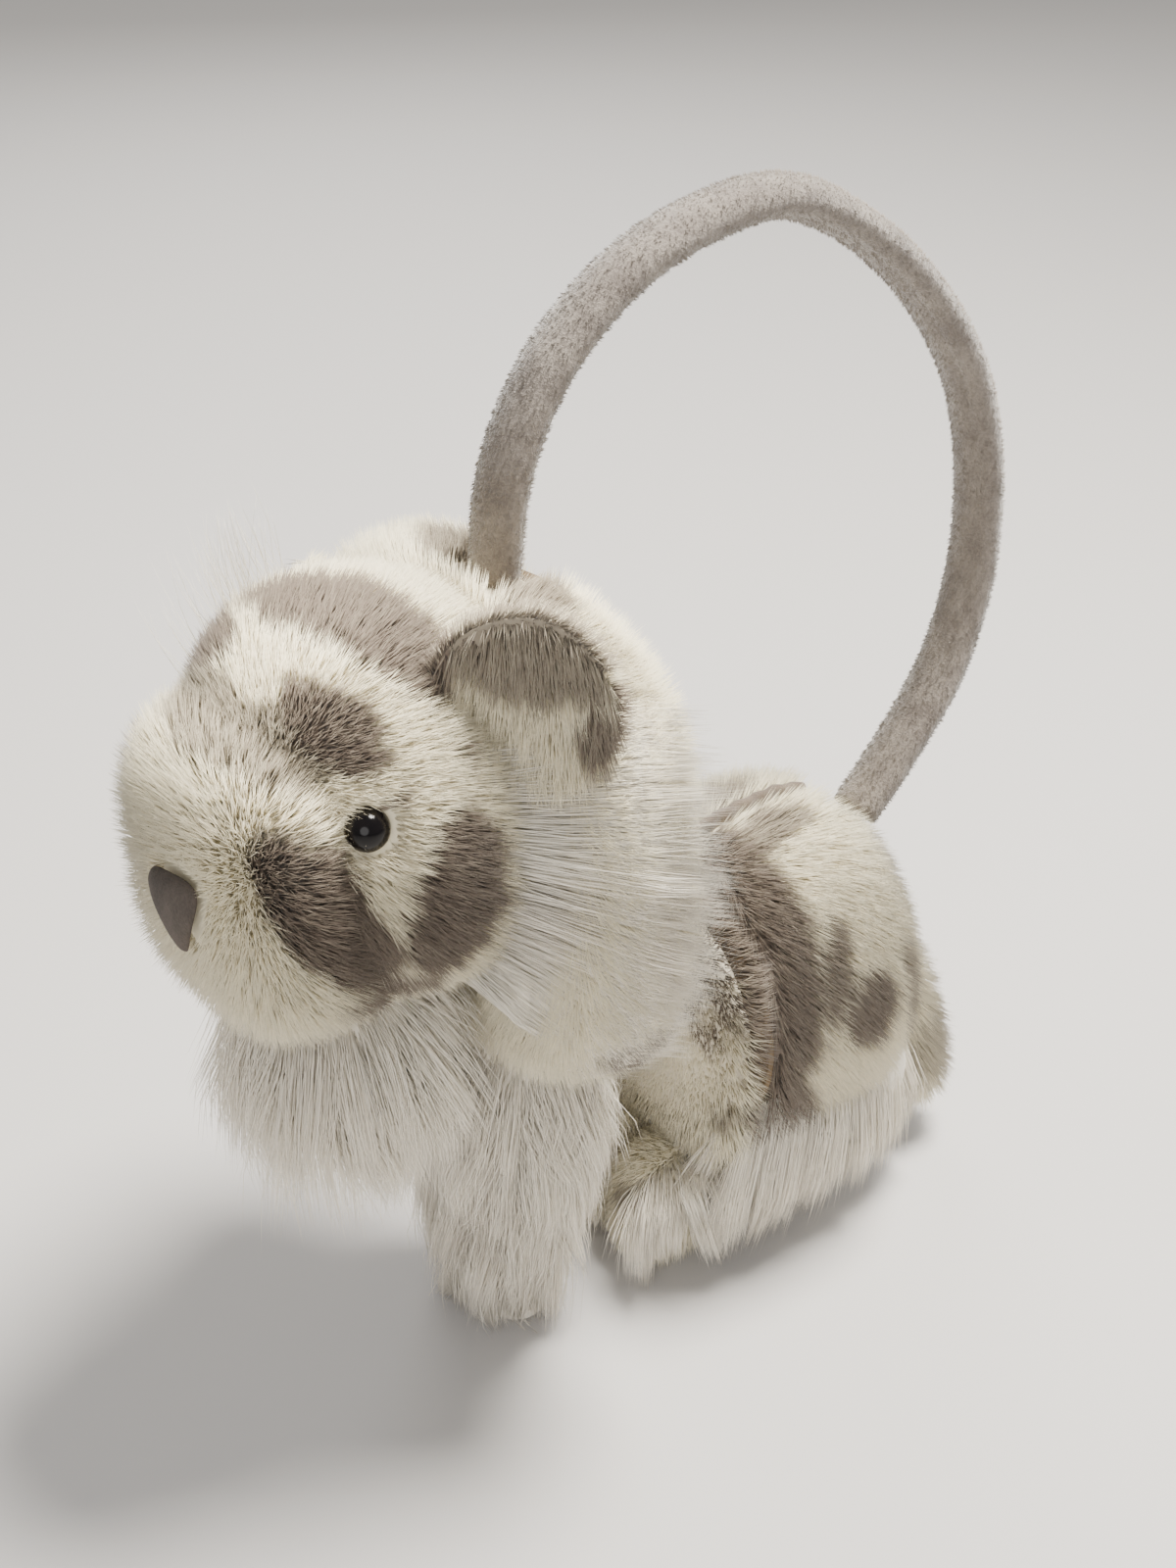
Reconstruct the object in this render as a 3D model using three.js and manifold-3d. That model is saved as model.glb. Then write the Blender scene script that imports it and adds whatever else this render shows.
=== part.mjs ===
// A pair of plush big-cat earmuffs: the head and chest on one muff, the hindquarters and tail on the other,
// joined by a sprung headband in a padded velour sleeve. Millimetres, +Z up, +X from the head muff to the
// rear muff, the cat's left side at -Y. The two halves of the headband meet at its crown, where it flexes.
import * as THREE from 'three';
import { mergeVertices } from 'three/addons/utils/BufferGeometryUtils.js';
import Module from 'manifold-3d';

const wasm = await Module();
wasm.setup();

// ---------- driving dimensions ----------
const GAP = 0.3; // between touching pieces
const SKIN = 2.4; // thickness of a plush skin

// headband
const BAND_CURVE = [ // centreline in the XZ plane, from inside the head muff over the crown to the rear muff
  [-8.6, 152], [-7.8, 170], [-6.6, 185.6], [-3.4, 203], [6.7, 220.6], [24.5, 234.5], [44, 241], [64.8, 241.8],
  [87, 231], [107, 213.6], [121.5, 193], [128.6, 170.5], [129.2, 144], [122, 121], [109, 104], [98, 93],
  [86, 82.5], [79, 76.5],
];
const BAND_STEPS = 14; // along each half
const BAND_SIDES = 6; // half the number of sides of the padded section
const SLEEVE = { width: 14, depth: 10, wall: 0.5 }; // width along Y, depth across the band
const STRIP = { width: 8, depth: 0.8, play: 0.8 }; // play is the room above and below it in the foam
const CAP = { length: 13, width: 11, depth: 5, closed: 3, slot: 2.1 };
const CROWN_GAP = 0.6; // between the two halves
const SLEEVE_START = 21; // mm of strip beyond each sleeve's end
const PADDING_START = 18;

// head muff: a disc across X with the cat's head on its -X face and the ear cushion on its +X face
const MUFF = { z: 132, radius: 49, front: -20, back: 2, edge: 8 };
const BOARD = 1.5;
const CUSHION = { radius: 38, thickness: 6, edge: 3 };
const HEAD = { x: -37, z: 147, rx: 34, ry: 38, rz: 39 };
const MUZZLE = { x: -61, z: 139, rx: 17, ry: 27, rz: 28, square: 3 };
const NOSE = { z: 135, width: 21, height: 15, thickness: 1.6 };
const EYE = { x: -57.2, y: 29.8, z: 157.6, radius: 4.2, stem: 1.5, stemLength: 10 };
const WASHER = { radius: 6, depth: 1.4, set: 4.2, room: 6 }; // room is open towards the skin
const EAR = { x: -27, y: 36, radius: 16.5, thickness: 9, turn: 42, lean: 14 };
const EAR_HEIGHT = { left: 176, right: 162 }; // the right ear flops down
const RUFF = { x: -26, y: 34, z: 116, rx: 9, ry: 15, rz: 36 };
const BEARD = { x: -50, z: 96, rx: 19, ry: 25, rz: 30 };
const CHEST = { x: -9, rx: 17, ry: 25, top: 90 };

// rear muff: a barrel along X with the ear cushion on its -X face and the tail at its +X end
const RUMP = { z: 62, ry: 36, rz: 42, front: 42.1, length: 51 };
const REAR_CUSHION = { z: 63, radius: 31, thickness: 8, edge: 3 };
const FOOT = { front: 20, length: 40, width: 15, y: 9, height: 30, corner: 6 };
const TAIL = { top: [96, -3, 49], bottom: [106, -9, 17], radius: 8.5 };
const FRINGE = { front: 42.4, length: 42, topY: 34, bottomY: 25, thickness: 6, top: 50, bottom: 5 };
const TAPE = { width: 2.2, height: 3.2 };

// the room that a band end keeps in its muff, so that the muff can tilt on it
const SLOT = { depth: 19, width: 16, length: 90 };
const POCKET = { depth: 15.4, width: 19, length: 22, wall: 1.5 };

const COLOUR = {
  cream: '#ece6d0',
  white: '#e6e2d8',
  taupe: '#82746a',
  felt: '#69625c',
  velour: '#8c827a',
  fibre: '#f4f2ee',
  foam: '#d8d4cc',
  webbing: '#b9b0a4',
  board: '#8a7a64',
  steel: '#b4b8bc',
  black: '#1c1c20',
  nylon: '#e8e8e8',
};

// ---------- making and joining solids ----------
function toSolid(geometry) {
  const bare = geometry.clone();
  bare.deleteAttribute('normal');
  bare.deleteAttribute('uv');
  const merged = mergeVertices(bare, 1e-4);
  const place = merged.attributes.position;
  const corner = (i) => new THREE.Vector3().fromBufferAttribute(place, i);
  const triangles = [];
  let volume = 0;
  for (let i = 0; i < merged.index.count; i += 3) {
    const [a, b, c] = [0, 1, 2].map((k) => merged.index.getX(i + k));
    if (a === b || b === c || c === a) continue;
    triangles.push([a, b, c]);
    volume += corner(a).dot(corner(b).cross(corner(c)));
  }
  const outward = volume < 0 ? triangles.map(([a, b, c]) => [a, c, b]) : triangles;
  const mesh = new wasm.Mesh({
    numProp: 3,
    vertProperties: new Float32Array(place.array),
    triVerts: new Uint32Array(outward.flat()),
  });
  return new wasm.Manifold(mesh);
}

function toGeometry(solid) {
  const mesh = solid.getMesh();
  const geometry = new THREE.BufferGeometry();
  geometry.setAttribute('position', new THREE.BufferAttribute(new Float32Array(mesh.vertProperties), 3));
  geometry.setIndex(new THREE.BufferAttribute(new Uint32Array(mesh.triVerts), 1));
  geometry.computeVertexNormals();
  return geometry;
}

const group = new THREE.Group();

function addPiece(name, shape, colour, roughness = 0.95, metalness = 0) {
  const geometry = shape instanceof THREE.BufferGeometry ? shape : toGeometry(shape);
  const material = new THREE.MeshStandardMaterial({ color: colour, roughness, metalness });
  const mesh = new THREE.Mesh(geometry, material);
  mesh.name = name;
  group.add(mesh);
}

// ---------- basic shapes ----------
function ellipsoid(x, y, z, rx, ry, rz, across = 24, down = 14) {
  const geometry = new THREE.SphereGeometry(1, across, down);
  return geometry.rotateX(Math.PI / 2).scale(rx, ry, rz).translate(x, y, z);
}

// an ellipsoid with flatter sides; power 2 is a plain ellipsoid
function blockyEllipsoid(x, y, z, rx, ry, rz, power) {
  const geometry = new THREE.SphereGeometry(1, 24, 14);
  const place = geometry.attributes.position;
  for (let i = 0; i < place.count; i += 1) {
    const point = new THREE.Vector3().fromBufferAttribute(place, i);
    const sum = [point.x, point.y, point.z].reduce((total, v) => total + Math.abs(v) ** power, 0);
    point.multiplyScalar(sum ** (-1 / power));
    place.setXYZ(i, point.x, point.y, point.z);
  }
  return geometry.scale(rx, ry, rz).translate(x, y, z);
}

// a disc about the X axis with rounded edges, from x0 to x1; ovals scale it along Y and Z
function disc(x0, x1, z, radius, edgeStart, edgeEnd, oval = [1, 1]) {
  const profile = [new THREE.Vector2(0, x0)];
  const corner = (edge, centreX, from) => {
    for (let k = 0; k <= 3; k += 1) {
      const angle = from + (k * Math.PI) / 6;
      const [out, along] = [edge * Math.cos(angle), edge * Math.sin(angle)];
      profile.push(new THREE.Vector2(radius - edge + out, centreX + along));
    }
  };
  if (edgeStart > 0) corner(edgeStart, x0 + edgeStart, -Math.PI / 2);
  else profile.push(new THREE.Vector2(radius, x0));
  if (edgeEnd > 0) corner(edgeEnd, x1 - edgeEnd, 0);
  else profile.push(new THREE.Vector2(radius, x1));
  profile.push(new THREE.Vector2(0, x1));
  const geometry = new THREE.LatheGeometry(profile, 32);
  return geometry.rotateZ(-Math.PI / 2).scale(1, oval[0], oval[1]).translate(0, 0, z);
}

function box(x0, x1, y0, y1, z0, z1) {
  const geometry = new THREE.BoxGeometry(x1 - x0, y1 - y0, z1 - z0);
  return geometry.translate((x0 + x1) / 2, (y0 + y1) / 2, (z0 + z1) / 2);
}

// turns a geometry made along +Z to lie along a direction from a point
function aim(geometry, point, direction) {
  const up = new THREE.Vector3(0, 0, 1);
  const turn = new THREE.Quaternion().setFromUnitVectors(up, direction.clone().normalize());
  return geometry.applyQuaternion(turn).translate(point.x, point.y, point.z);
}

// ---------- headband ----------
const bandPoints = BAND_CURVE.map(([x, z]) => new THREE.Vector3(x, 0, z));
const bandCurve = new THREE.CatmullRomCurve3(bandPoints, false, 'centripetal');
bandCurve.arcLengthDivisions = 600;
const bandLength = bandCurve.getLength();

class BandStretch extends THREE.Curve {
  constructor(from, to) {
    super();
    this.from = from / bandLength;
    this.to = to / bandLength;
  }

  getPoint(t) {
    return bandCurve.getPointAt(THREE.MathUtils.clamp(this.from + (this.to - this.from) * t, 0, 1));
  }
}

function ellipseOutline(width, depth) {
  return new THREE.Path().absellipse(0, 0, width / 2, depth / 2, 0, Math.PI * 2, false, 0);
}

function rectangleOutline(width, depth) {
  const outline = new THREE.Shape();
  outline.moveTo(-width / 2, -depth / 2).lineTo(width / 2, -depth / 2);
  outline.lineTo(width / 2, depth / 2).lineTo(-width / 2, depth / 2).closePath();
  return outline;
}

function ellipseShape(width, depth, inner) {
  const shape = new THREE.Shape(ellipseOutline(width, depth).getPoints(BAND_SIDES));
  shape.holes.push(inner);
  return shape;
}

function alongBand(shape, from, to, steps = BAND_STEPS) {
  const extrudePath = new BandStretch(from, to);
  return new THREE.ExtrudeGeometry(shape, { steps, extrudePath, curveSegments: 9 });
}

// the distance along the band at which it is highest
function highestPoint() {
  let best = 0;
  for (let s = 0; s <= bandLength; s += 0.5) {
    if (bandCurve.getPointAt(s / bandLength).z > bandCurve.getPointAt(best / bandLength).z) best = s;
  }
  return best;
}
const crownAt = highestPoint();
const sleeveRoom = { width: SLEEVE.width - 2 * SLEEVE.wall, depth: SLEEVE.depth - 2 * SLEEVE.wall };
const padding = { width: sleeveRoom.width - 2 * GAP, depth: sleeveRoom.depth - 2 * GAP };
const stripRoom = rectangleOutline(STRIP.width + 2 * GAP, STRIP.depth + 2 * STRIP.play);
const stripHole = new THREE.Path(stripRoom.getPoints());
const sleeveHole = new THREE.Path(ellipseOutline(sleeveRoom.width, sleeveRoom.depth).getPoints(BAND_SIDES));
const bandSections = {
  strip: rectangleOutline(STRIP.width, STRIP.depth),
  padding: ellipseShape(padding.width, padding.depth, stripHole),
  sleeve: ellipseShape(SLEEVE.width, SLEEVE.depth, sleeveHole),
};

function bandEnd(atStart) {
  const point = bandCurve.getPointAt(atStart ? 0 : 1);
  const out = bandCurve.getTangentAt(atStart ? 0 : 1).multiplyScalar(atStart ? 1 : -1);
  return { point, out };
}

// a box around a band end: length runs along the band from a start behind the end
function bandEndBox(end, start, length, width, depth) {
  const geometry = new THREE.BoxGeometry(depth, width, length).translate(0, 0, start + length / 2);
  return aim(geometry, end.point, end.out);
}

const halves = {
  head: { end: bandEnd(true), span: (start) => [start, crownAt - CROWN_GAP / 2] },
  rear: { end: bandEnd(false), span: (start) => [crownAt + CROWN_GAP / 2, bandLength - start] },
};

for (const [half, { end, span }] of Object.entries(halves)) {
  addPiece(`spring_strip_${half}`, alongBand(bandSections.strip, ...span(0)), COLOUR.steel, 0.35, 1);
  addPiece(`band_padding_${half}`, alongBand(bandSections.padding, ...span(PADDING_START)), COLOUR.foam);
  addPiece(`band_sleeve_${half}`, alongBand(bandSections.sleeve, ...span(SLEEVE_START)), COLOUR.velour);
  const capBody = toSolid(bandEndBox(end, -CAP.closed, CAP.length, CAP.width, CAP.depth));
  const capHole = toSolid(bandEndBox(end, -GAP, CAP.length, STRIP.width + 2 * GAP, CAP.slot));
  addPiece(`end_cap_${half}`, capBody.subtract(capHole), COLOUR.black, 0.5);
}

// ---------- pieces that both muffs have ----------
function muffSlot(end) {
  return toSolid(bandEndBox(end, -6, SLOT.length, SLOT.width, SLOT.depth));
}

function bandPocket(end) {
  const body = toSolid(bandEndBox(end, -6.5 + GAP, POCKET.length, POCKET.width, POCKET.depth));
  const [width, depth] = [POCKET.width, POCKET.depth].map((side) => side - 2 * POCKET.wall);
  const room = toSolid(bandEndBox(end, -4.8, POCKET.length + 8, width, depth));
  return body.subtract(room);
}

function pocketRoom(end) {
  const [length, width, depth] = [POCKET.length, POCKET.width, POCKET.depth].map((side) => side + 2 * GAP);
  return toSolid(bandEndBox(end, -6.5, length, width, depth));
}

// ---------- head muff ----------
const headEnd = halves.head.end;
const headRoom = muffSlot(headEnd).add(pocketRoom(headEnd));
const muffOuter = toSolid(disc(MUFF.front, MUFF.back, MUFF.z, MUFF.radius, MUFF.edge, 0));
const muffInside = (inset, back) => toSolid(
  disc(MUFF.front + inset, back, MUFF.z, MUFF.radius - inset, MUFF.edge - SKIN, 0),
);
const muffCavity = muffInside(SKIN, MUFF.back + 5);
const muffFill = muffInside(SKIN + GAP, MUFF.back);
addPiece('head_muff_cover', muffOuter.subtract(muffCavity).subtract(headRoom), COLOUR.cream);
addPiece('head_muff_fill', muffFill.subtract(headRoom), COLOUR.fibre);
addPiece('head_band_pocket', bandPocket(headEnd), COLOUR.webbing);

const boardFront = MUFF.back + GAP;
const boardBack = boardFront + BOARD;
const cushionFace = boardBack + GAP + CUSHION.thickness;
const headCushion = disc(boardBack + GAP, cushionFace, MUFF.z, CUSHION.radius, 0, CUSHION.edge);
addPiece('head_board', disc(boardFront, boardBack, MUFF.z, MUFF.radius - 3, 0, 0), COLOUR.board, 0.8);
addPiece('head_ear_cushion', headCushion, COLOUR.white);

const beforeMuff = toSolid(box(-200, MUFF.front - GAP, -100, 100, 0, 300));
const wholeHead = (grow) => toSolid(
  ellipsoid(HEAD.x, 0, HEAD.z, HEAD.rx + grow, HEAD.ry + grow, HEAD.rz + grow),
);
const headBody = (grow) => wholeHead(grow).intersect(beforeMuff);

const sides = { left: -1, right: 1 };
const eyes = {};
for (const [side, sign] of Object.entries(sides)) {
  const point = new THREE.Vector3(EYE.x, sign * EYE.y, EYE.z);
  const normal = new THREE.Vector3(
    (point.x - HEAD.x) / HEAD.rx ** 2,
    point.y / HEAD.ry ** 2,
    (point.z - HEAD.z) / HEAD.rz ** 2,
  ).normalize();
  const along = (geometry) => toSolid(aim(geometry, point, normal));
  const stem = (radius, length) => along(
    new THREE.CylinderGeometry(radius, radius, length, 10).rotateX(Math.PI / 2).translate(0, 0, -length / 2),
  );
  const ball = (radius) => along(new THREE.SphereGeometry(radius, 14, 8));
  const washer = (radius, hole, from, to) => {
    const outline = [[hole, from], [radius, from], [radius, to], [hole, to], [hole, from]];
    const section = outline.map(([r, h]) => new THREE.Vector2(r, h));
    return along(new THREE.LatheGeometry(section, 14).rotateX(Math.PI / 2));
  };
  eyes[side] = {
    body: ball(EYE.radius).add(stem(EYE.stem, EYE.stemLength)),
    washer: washer(WASHER.radius, EYE.stem + GAP, -WASHER.set - WASHER.depth, -WASHER.set),
    hole: ball(EYE.radius + GAP).add(stem(EYE.stem + GAP, EYE.stemLength + GAP)),
    washerRoom: along(
      new THREE.CylinderGeometry(WASHER.radius + GAP, WASHER.radius + GAP, WASHER.room, 14)
        .rotateX(Math.PI / 2).translate(0, 0, WASHER.room / 2 - WASHER.set - WASHER.depth - GAP),
    ),
  };
}

let headCover = headBody(0).subtract(wholeHead(-SKIN));
let headFill = headBody(-SKIN - GAP);
for (const side of Object.keys(sides)) {
  headCover = headCover.subtract(eyes[side].hole);
  headFill = headFill.subtract(eyes[side].hole).subtract(eyes[side].washerRoom);
  addPiece(`eye_${side}`, eyes[side].body, COLOUR.black, 0.08);
  addPiece(`eye_washer_${side}`, eyes[side].washer, COLOUR.nylon, 0.5);
}
addPiece('head_cover', headCover, COLOUR.cream);
addPiece('head_fill', headFill, COLOUR.fibre);

const headClear = wholeHead(GAP);
const muzzle = toSolid(
  blockyEllipsoid(MUZZLE.x, 0, MUZZLE.z, MUZZLE.rx, MUZZLE.ry, MUZZLE.rz, MUZZLE.square),
).subtract(headClear);
addPiece('muzzle', muzzle, COLOUR.cream);

function noseOutline() {
  const [w, h] = [NOSE.width / 2, NOSE.height / 2];
  const outline = new THREE.Shape();
  outline.moveTo(-w * 0.7, h).quadraticCurveTo(0, h * 1.15, w * 0.7, h);
  outline.quadraticCurveTo(w * 1.1, h * 0.8, w * 0.85, h * 0.2);
  outline.quadraticCurveTo(w * 0.4, -h, 0, -h);
  outline.quadraticCurveTo(-w * 0.4, -h, -w * 0.85, h * 0.2);
  outline.quadraticCurveTo(-w * 1.1, h * 0.8, -w * 0.7, h);
  return outline;
}
const noseCut = { depth: NOSE.thickness, bevelEnabled: false, curveSegments: 4 };
const nose = new THREE.ExtrudeGeometry(noseOutline(), noseCut).rotateX(Math.PI / 2).rotateZ(-Math.PI / 2);
const noseFront = MUZZLE.x - MUZZLE.rx - GAP;
addPiece('nose_patch', nose.translate(noseFront, 0, NOSE.z), COLOUR.felt);

const muffClear = toSolid(disc(MUFF.front - GAP, MUFF.back + 20, MUFF.z, MUFF.radius + GAP, MUFF.edge, 0));
const muzzleClear = toSolid(
  blockyEllipsoid(MUZZLE.x, 0, MUZZLE.z, MUZZLE.rx + GAP, MUZZLE.ry + GAP, MUZZLE.rz + GAP, MUZZLE.square),
);
const offHead = (geometry) => toSolid(geometry).subtract(headClear).subtract(muffClear).subtract(muzzleClear);
const ruffForm = (sign, grow) => ellipsoid(
  RUFF.x, sign * RUFF.y, RUFF.z, RUFF.rx + grow, RUFF.ry + grow, RUFF.rz + grow, 16, 10,
);
const ruffClear = toSolid(ruffForm(-1, GAP)).add(toSolid(ruffForm(1, GAP)));

for (const [side, sign] of Object.entries(sides)) {
  const ear = ellipsoid(0, 0, 0, EAR.thickness / 2, EAR.radius, EAR.radius, 16, 10);
  ear.rotateX(THREE.MathUtils.degToRad(-sign * EAR.lean)).rotateZ(THREE.MathUtils.degToRad(-sign * EAR.turn));
  ear.translate(EAR.x, sign * EAR.y, EAR_HEIGHT[side]);
  addPiece(`ear_${side}`, offHead(ear).subtract(ruffClear), COLOUR.taupe);
  addPiece(`cheek_ruff_${side}`, offHead(ruffForm(sign, 0)), COLOUR.white);
}

const beard = offHead(ellipsoid(BEARD.x, 0, BEARD.z, BEARD.rx, BEARD.ry, BEARD.rz, 18, 12));
addPiece('chin_beard', beard.subtract(ruffClear), COLOUR.white);

// the chest's radius, as a share of its full radius, at heights from the table
const chestProfile = [
  [0, 0], [0.46, 0], [0.54, 6], [0.7, 20], [0.9, 42], [1, 66], [0.94, CHEST.top], [0, CHEST.top],
];
const chest = new THREE.LatheGeometry(chestProfile.map(([r, h]) => new THREE.Vector2(r, h)), 22);
chest.rotateX(Math.PI / 2).scale(CHEST.rx, CHEST.ry, 1).translate(CHEST.x, 0, 0);
const beardClear = toSolid(
  ellipsoid(BEARD.x, 0, BEARD.z, BEARD.rx + GAP, BEARD.ry + GAP, BEARD.rz + GAP, 18, 12),
);
addPiece('chest', offHead(chest).subtract(ruffClear).subtract(beardClear), COLOUR.white);

// ---------- rear muff ----------
const rearEnd = halves.rear.end;
const rearRoom = muffSlot(rearEnd).add(pocketRoom(rearEnd));

// the rump's radius along its length, as shares of its full radius
const rumpProfile = [
  [0, 0], [0.93, 0], [0.98, 0.14], [1, 0.34], [1, 0.56],
  [0.95, 0.73], [0.84, 0.86], [0.64, 0.95], [0.36, 0.99], [0, 1],
];

// the rump's form, smaller all round by inset, with its flat front moved forward by opening
function rump(inset, opening = 0) {
  const length = RUMP.length - inset;
  const points = rumpProfile.map(([r, x]) => {
    const radius = Math.max(0, r * RUMP.ry - (r > 0 ? inset : 0));
    return new THREE.Vector2(radius, x * length - (x === 0 ? opening : 0));
  });
  const geometry = new THREE.LatheGeometry(points, 28);
  return geometry.rotateZ(-Math.PI / 2).scale(1, 1, RUMP.rz / RUMP.ry).translate(RUMP.front, 0, RUMP.z);
}

const rumpClear = toSolid(rump(-GAP, GAP)).add(rearRoom);
addPiece('rump_cover', toSolid(rump(0)).subtract(toSolid(rump(SKIN, 5))).subtract(rearRoom), COLOUR.cream);
addPiece('rump_fill', toSolid(rump(SKIN + GAP)).subtract(rearRoom), COLOUR.fibre);
addPiece('rump_band_pocket', bandPocket(rearEnd), COLOUR.webbing);

const rearBoardBack = RUMP.front - GAP;
const rearBoardFront = rearBoardBack - BOARD;
const rearCushionBack = rearBoardFront - GAP;
const rearCushionFace = rearCushionBack - REAR_CUSHION.thickness;
const rearBoard = disc(rearBoardFront, rearBoardBack, REAR_CUSHION.z, REAR_CUSHION.radius + 2, 0, 0);
const rearCushion = disc(
  rearCushionFace, rearCushionBack, REAR_CUSHION.z, REAR_CUSHION.radius, REAR_CUSHION.edge, 0,
);
addPiece('rump_board', rearBoard, COLOUR.board, 0.8);
addPiece('rump_ear_cushion', rearCushion, COLOUR.white);

function roundedRectangle(length, width, corner) {
  const outline = new THREE.Shape();
  const [l, w] = [length / 2, width / 2];
  const [x, y] = [l - corner, w - corner];
  const quarter = Math.PI / 2;
  outline.moveTo(-x, -w).lineTo(x, -w).absarc(x, -y, corner, -quarter, 0);
  outline.lineTo(l, y).absarc(x, y, corner, 0, quarter);
  outline.lineTo(-x, w).absarc(-x, y, corner, quarter, 2 * quarter);
  outline.lineTo(-l, -y).absarc(-x, -y, corner, 2 * quarter, 3 * quarter);
  return outline;
}

const footClear = {};
for (const [side, sign] of Object.entries(sides)) {
  const foot = (grow) => new THREE.ExtrudeGeometry(
    roundedRectangle(FOOT.length + 2 * grow, FOOT.width + 2 * grow, FOOT.corner),
    { depth: FOOT.height + grow, bevelEnabled: false, curveSegments: 5 },
  ).translate(FOOT.front + FOOT.length / 2, sign * FOOT.y, 0);
  footClear[side] = toSolid(foot(GAP));
  addPiece(`hind_foot_${side}`, toSolid(foot(0)).subtract(rumpClear), COLOUR.cream);
}

for (const [side, sign] of Object.entries(sides)) {
  const drop = FRINGE.top - FRINGE.bottom;
  const outline = new THREE.Shape();
  outline.moveTo(FRINGE.topY - FRINGE.thickness, FRINGE.top).lineTo(FRINGE.topY, FRINGE.top);
  outline.quadraticCurveTo(FRINGE.topY, FRINGE.bottom + drop * 0.5, FRINGE.bottomY, FRINGE.bottom);
  outline.lineTo(FRINGE.bottomY - FRINGE.thickness, FRINGE.bottom);
  outline.closePath();
  const cut = { depth: FRINGE.length, bevelEnabled: false, curveSegments: 6 };
  const panel = new THREE.ExtrudeGeometry(outline, cut);
  panel.rotateX(Math.PI / 2).rotateZ(Math.PI / 2).translate(FRINGE.front, 0, 0);
  if (sign < 0) panel.scale(1, -1, 1);
  const fringe = toSolid(panel).subtract(rumpClear).subtract(footClear[side]);
  addPiece(`belly_fringe_${side}`, fringe, COLOUR.white);
}

const tailTop = new THREE.Vector3(...TAIL.top);
const tailLine = new THREE.Vector3(...TAIL.bottom).sub(tailTop);
const tail = new THREE.CapsuleGeometry(TAIL.radius, tailLine.length(), 4, 14).rotateX(Math.PI / 2);
const tailMiddle = tailTop.clone().addScaledVector(tailLine, 0.5);
addPiece('tail', toSolid(aim(tail, tailMiddle, tailLine)).subtract(rumpClear), COLOUR.taupe);

// the taped seam along the spine, from the cushion side to the band's entry
const tapeRise = RUMP.z + GAP + TAPE.height / 2;
const tapePoints = rumpProfile.slice(1, 6).map(
  ([r, x]) => new THREE.Vector3(RUMP.front + x * RUMP.length, 0, tapeRise + r * RUMP.rz),
);
const tapePath = new THREE.CatmullRomCurve3(tapePoints);
const tapeCut = { steps: 12, extrudePath: tapePath };
const tape = new THREE.ExtrudeGeometry(rectangleOutline(TAPE.width, TAPE.height), tapeCut);
addPiece('rump_seam_tape', toSolid(tape).subtract(toSolid(rump(-GAP))).subtract(rearRoom), COLOUR.taupe);

// the origin is on the table, under the middle of the whole
const extent = new THREE.Box3().setFromObject(group);
group.position.set(-(extent.min.x + extent.max.x) / 2, -(extent.min.y + extent.max.y) / 2, -extent.min.z);

export default group;
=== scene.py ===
# Plush wild-cat earmuffs: fur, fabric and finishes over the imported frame.
import math

import bpy
import numpy as np
from mathutils import Matrix, Vector


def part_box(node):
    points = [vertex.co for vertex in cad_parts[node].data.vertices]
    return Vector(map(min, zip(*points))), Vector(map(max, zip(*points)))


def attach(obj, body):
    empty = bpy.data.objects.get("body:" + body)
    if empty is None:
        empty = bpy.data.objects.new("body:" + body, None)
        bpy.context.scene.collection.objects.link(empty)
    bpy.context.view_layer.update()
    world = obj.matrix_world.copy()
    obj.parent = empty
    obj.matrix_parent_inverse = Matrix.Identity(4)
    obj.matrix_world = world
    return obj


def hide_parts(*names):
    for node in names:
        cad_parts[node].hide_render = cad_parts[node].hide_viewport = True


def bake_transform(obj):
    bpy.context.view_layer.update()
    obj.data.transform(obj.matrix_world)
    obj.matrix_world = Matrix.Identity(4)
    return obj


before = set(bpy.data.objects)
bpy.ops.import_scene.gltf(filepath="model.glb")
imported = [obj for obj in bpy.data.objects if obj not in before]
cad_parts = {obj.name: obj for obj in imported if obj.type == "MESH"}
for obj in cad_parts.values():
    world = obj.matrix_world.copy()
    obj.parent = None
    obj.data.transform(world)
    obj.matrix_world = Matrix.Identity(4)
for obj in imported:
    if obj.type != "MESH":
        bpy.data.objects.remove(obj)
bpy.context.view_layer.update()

# ---------- units and places ----------
# Shapes are written in millimetres, with X = 0 two millimetres inside the head muff's back face,
# Y = 0 on the headband's plane and Z = 0 on the table.
MM = 0.001
MUFF_BACK = 2.0
SHIFT = np.array([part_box("head_muff_cover")[1][0] - MUFF_BACK * MM, 0.0, 0.0])
DOWN = np.array([0.0, 0.0, -1.0])
SIGNS = {"left": -1, "right": 1}  # which way each side lies along Y


def metres(points):
    return np.asarray(points, float) * MM + SHIFT


# ---------- small vector helpers ----------
def unit(v):
    return v / np.maximum(np.linalg.norm(v, axis=-1, keepdims=True), 1e-9)


def vectors(x, y, z):
    """Rows of (x, y, z), each given as a list or as one number for all."""
    return np.stack(np.broadcast_arrays(x, y, z), axis=1)


def across(flow, normals):
    """flow with its part along the normals taken out."""
    return flow - (flow * normals).sum(1, keepdims=True) * normals


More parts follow.
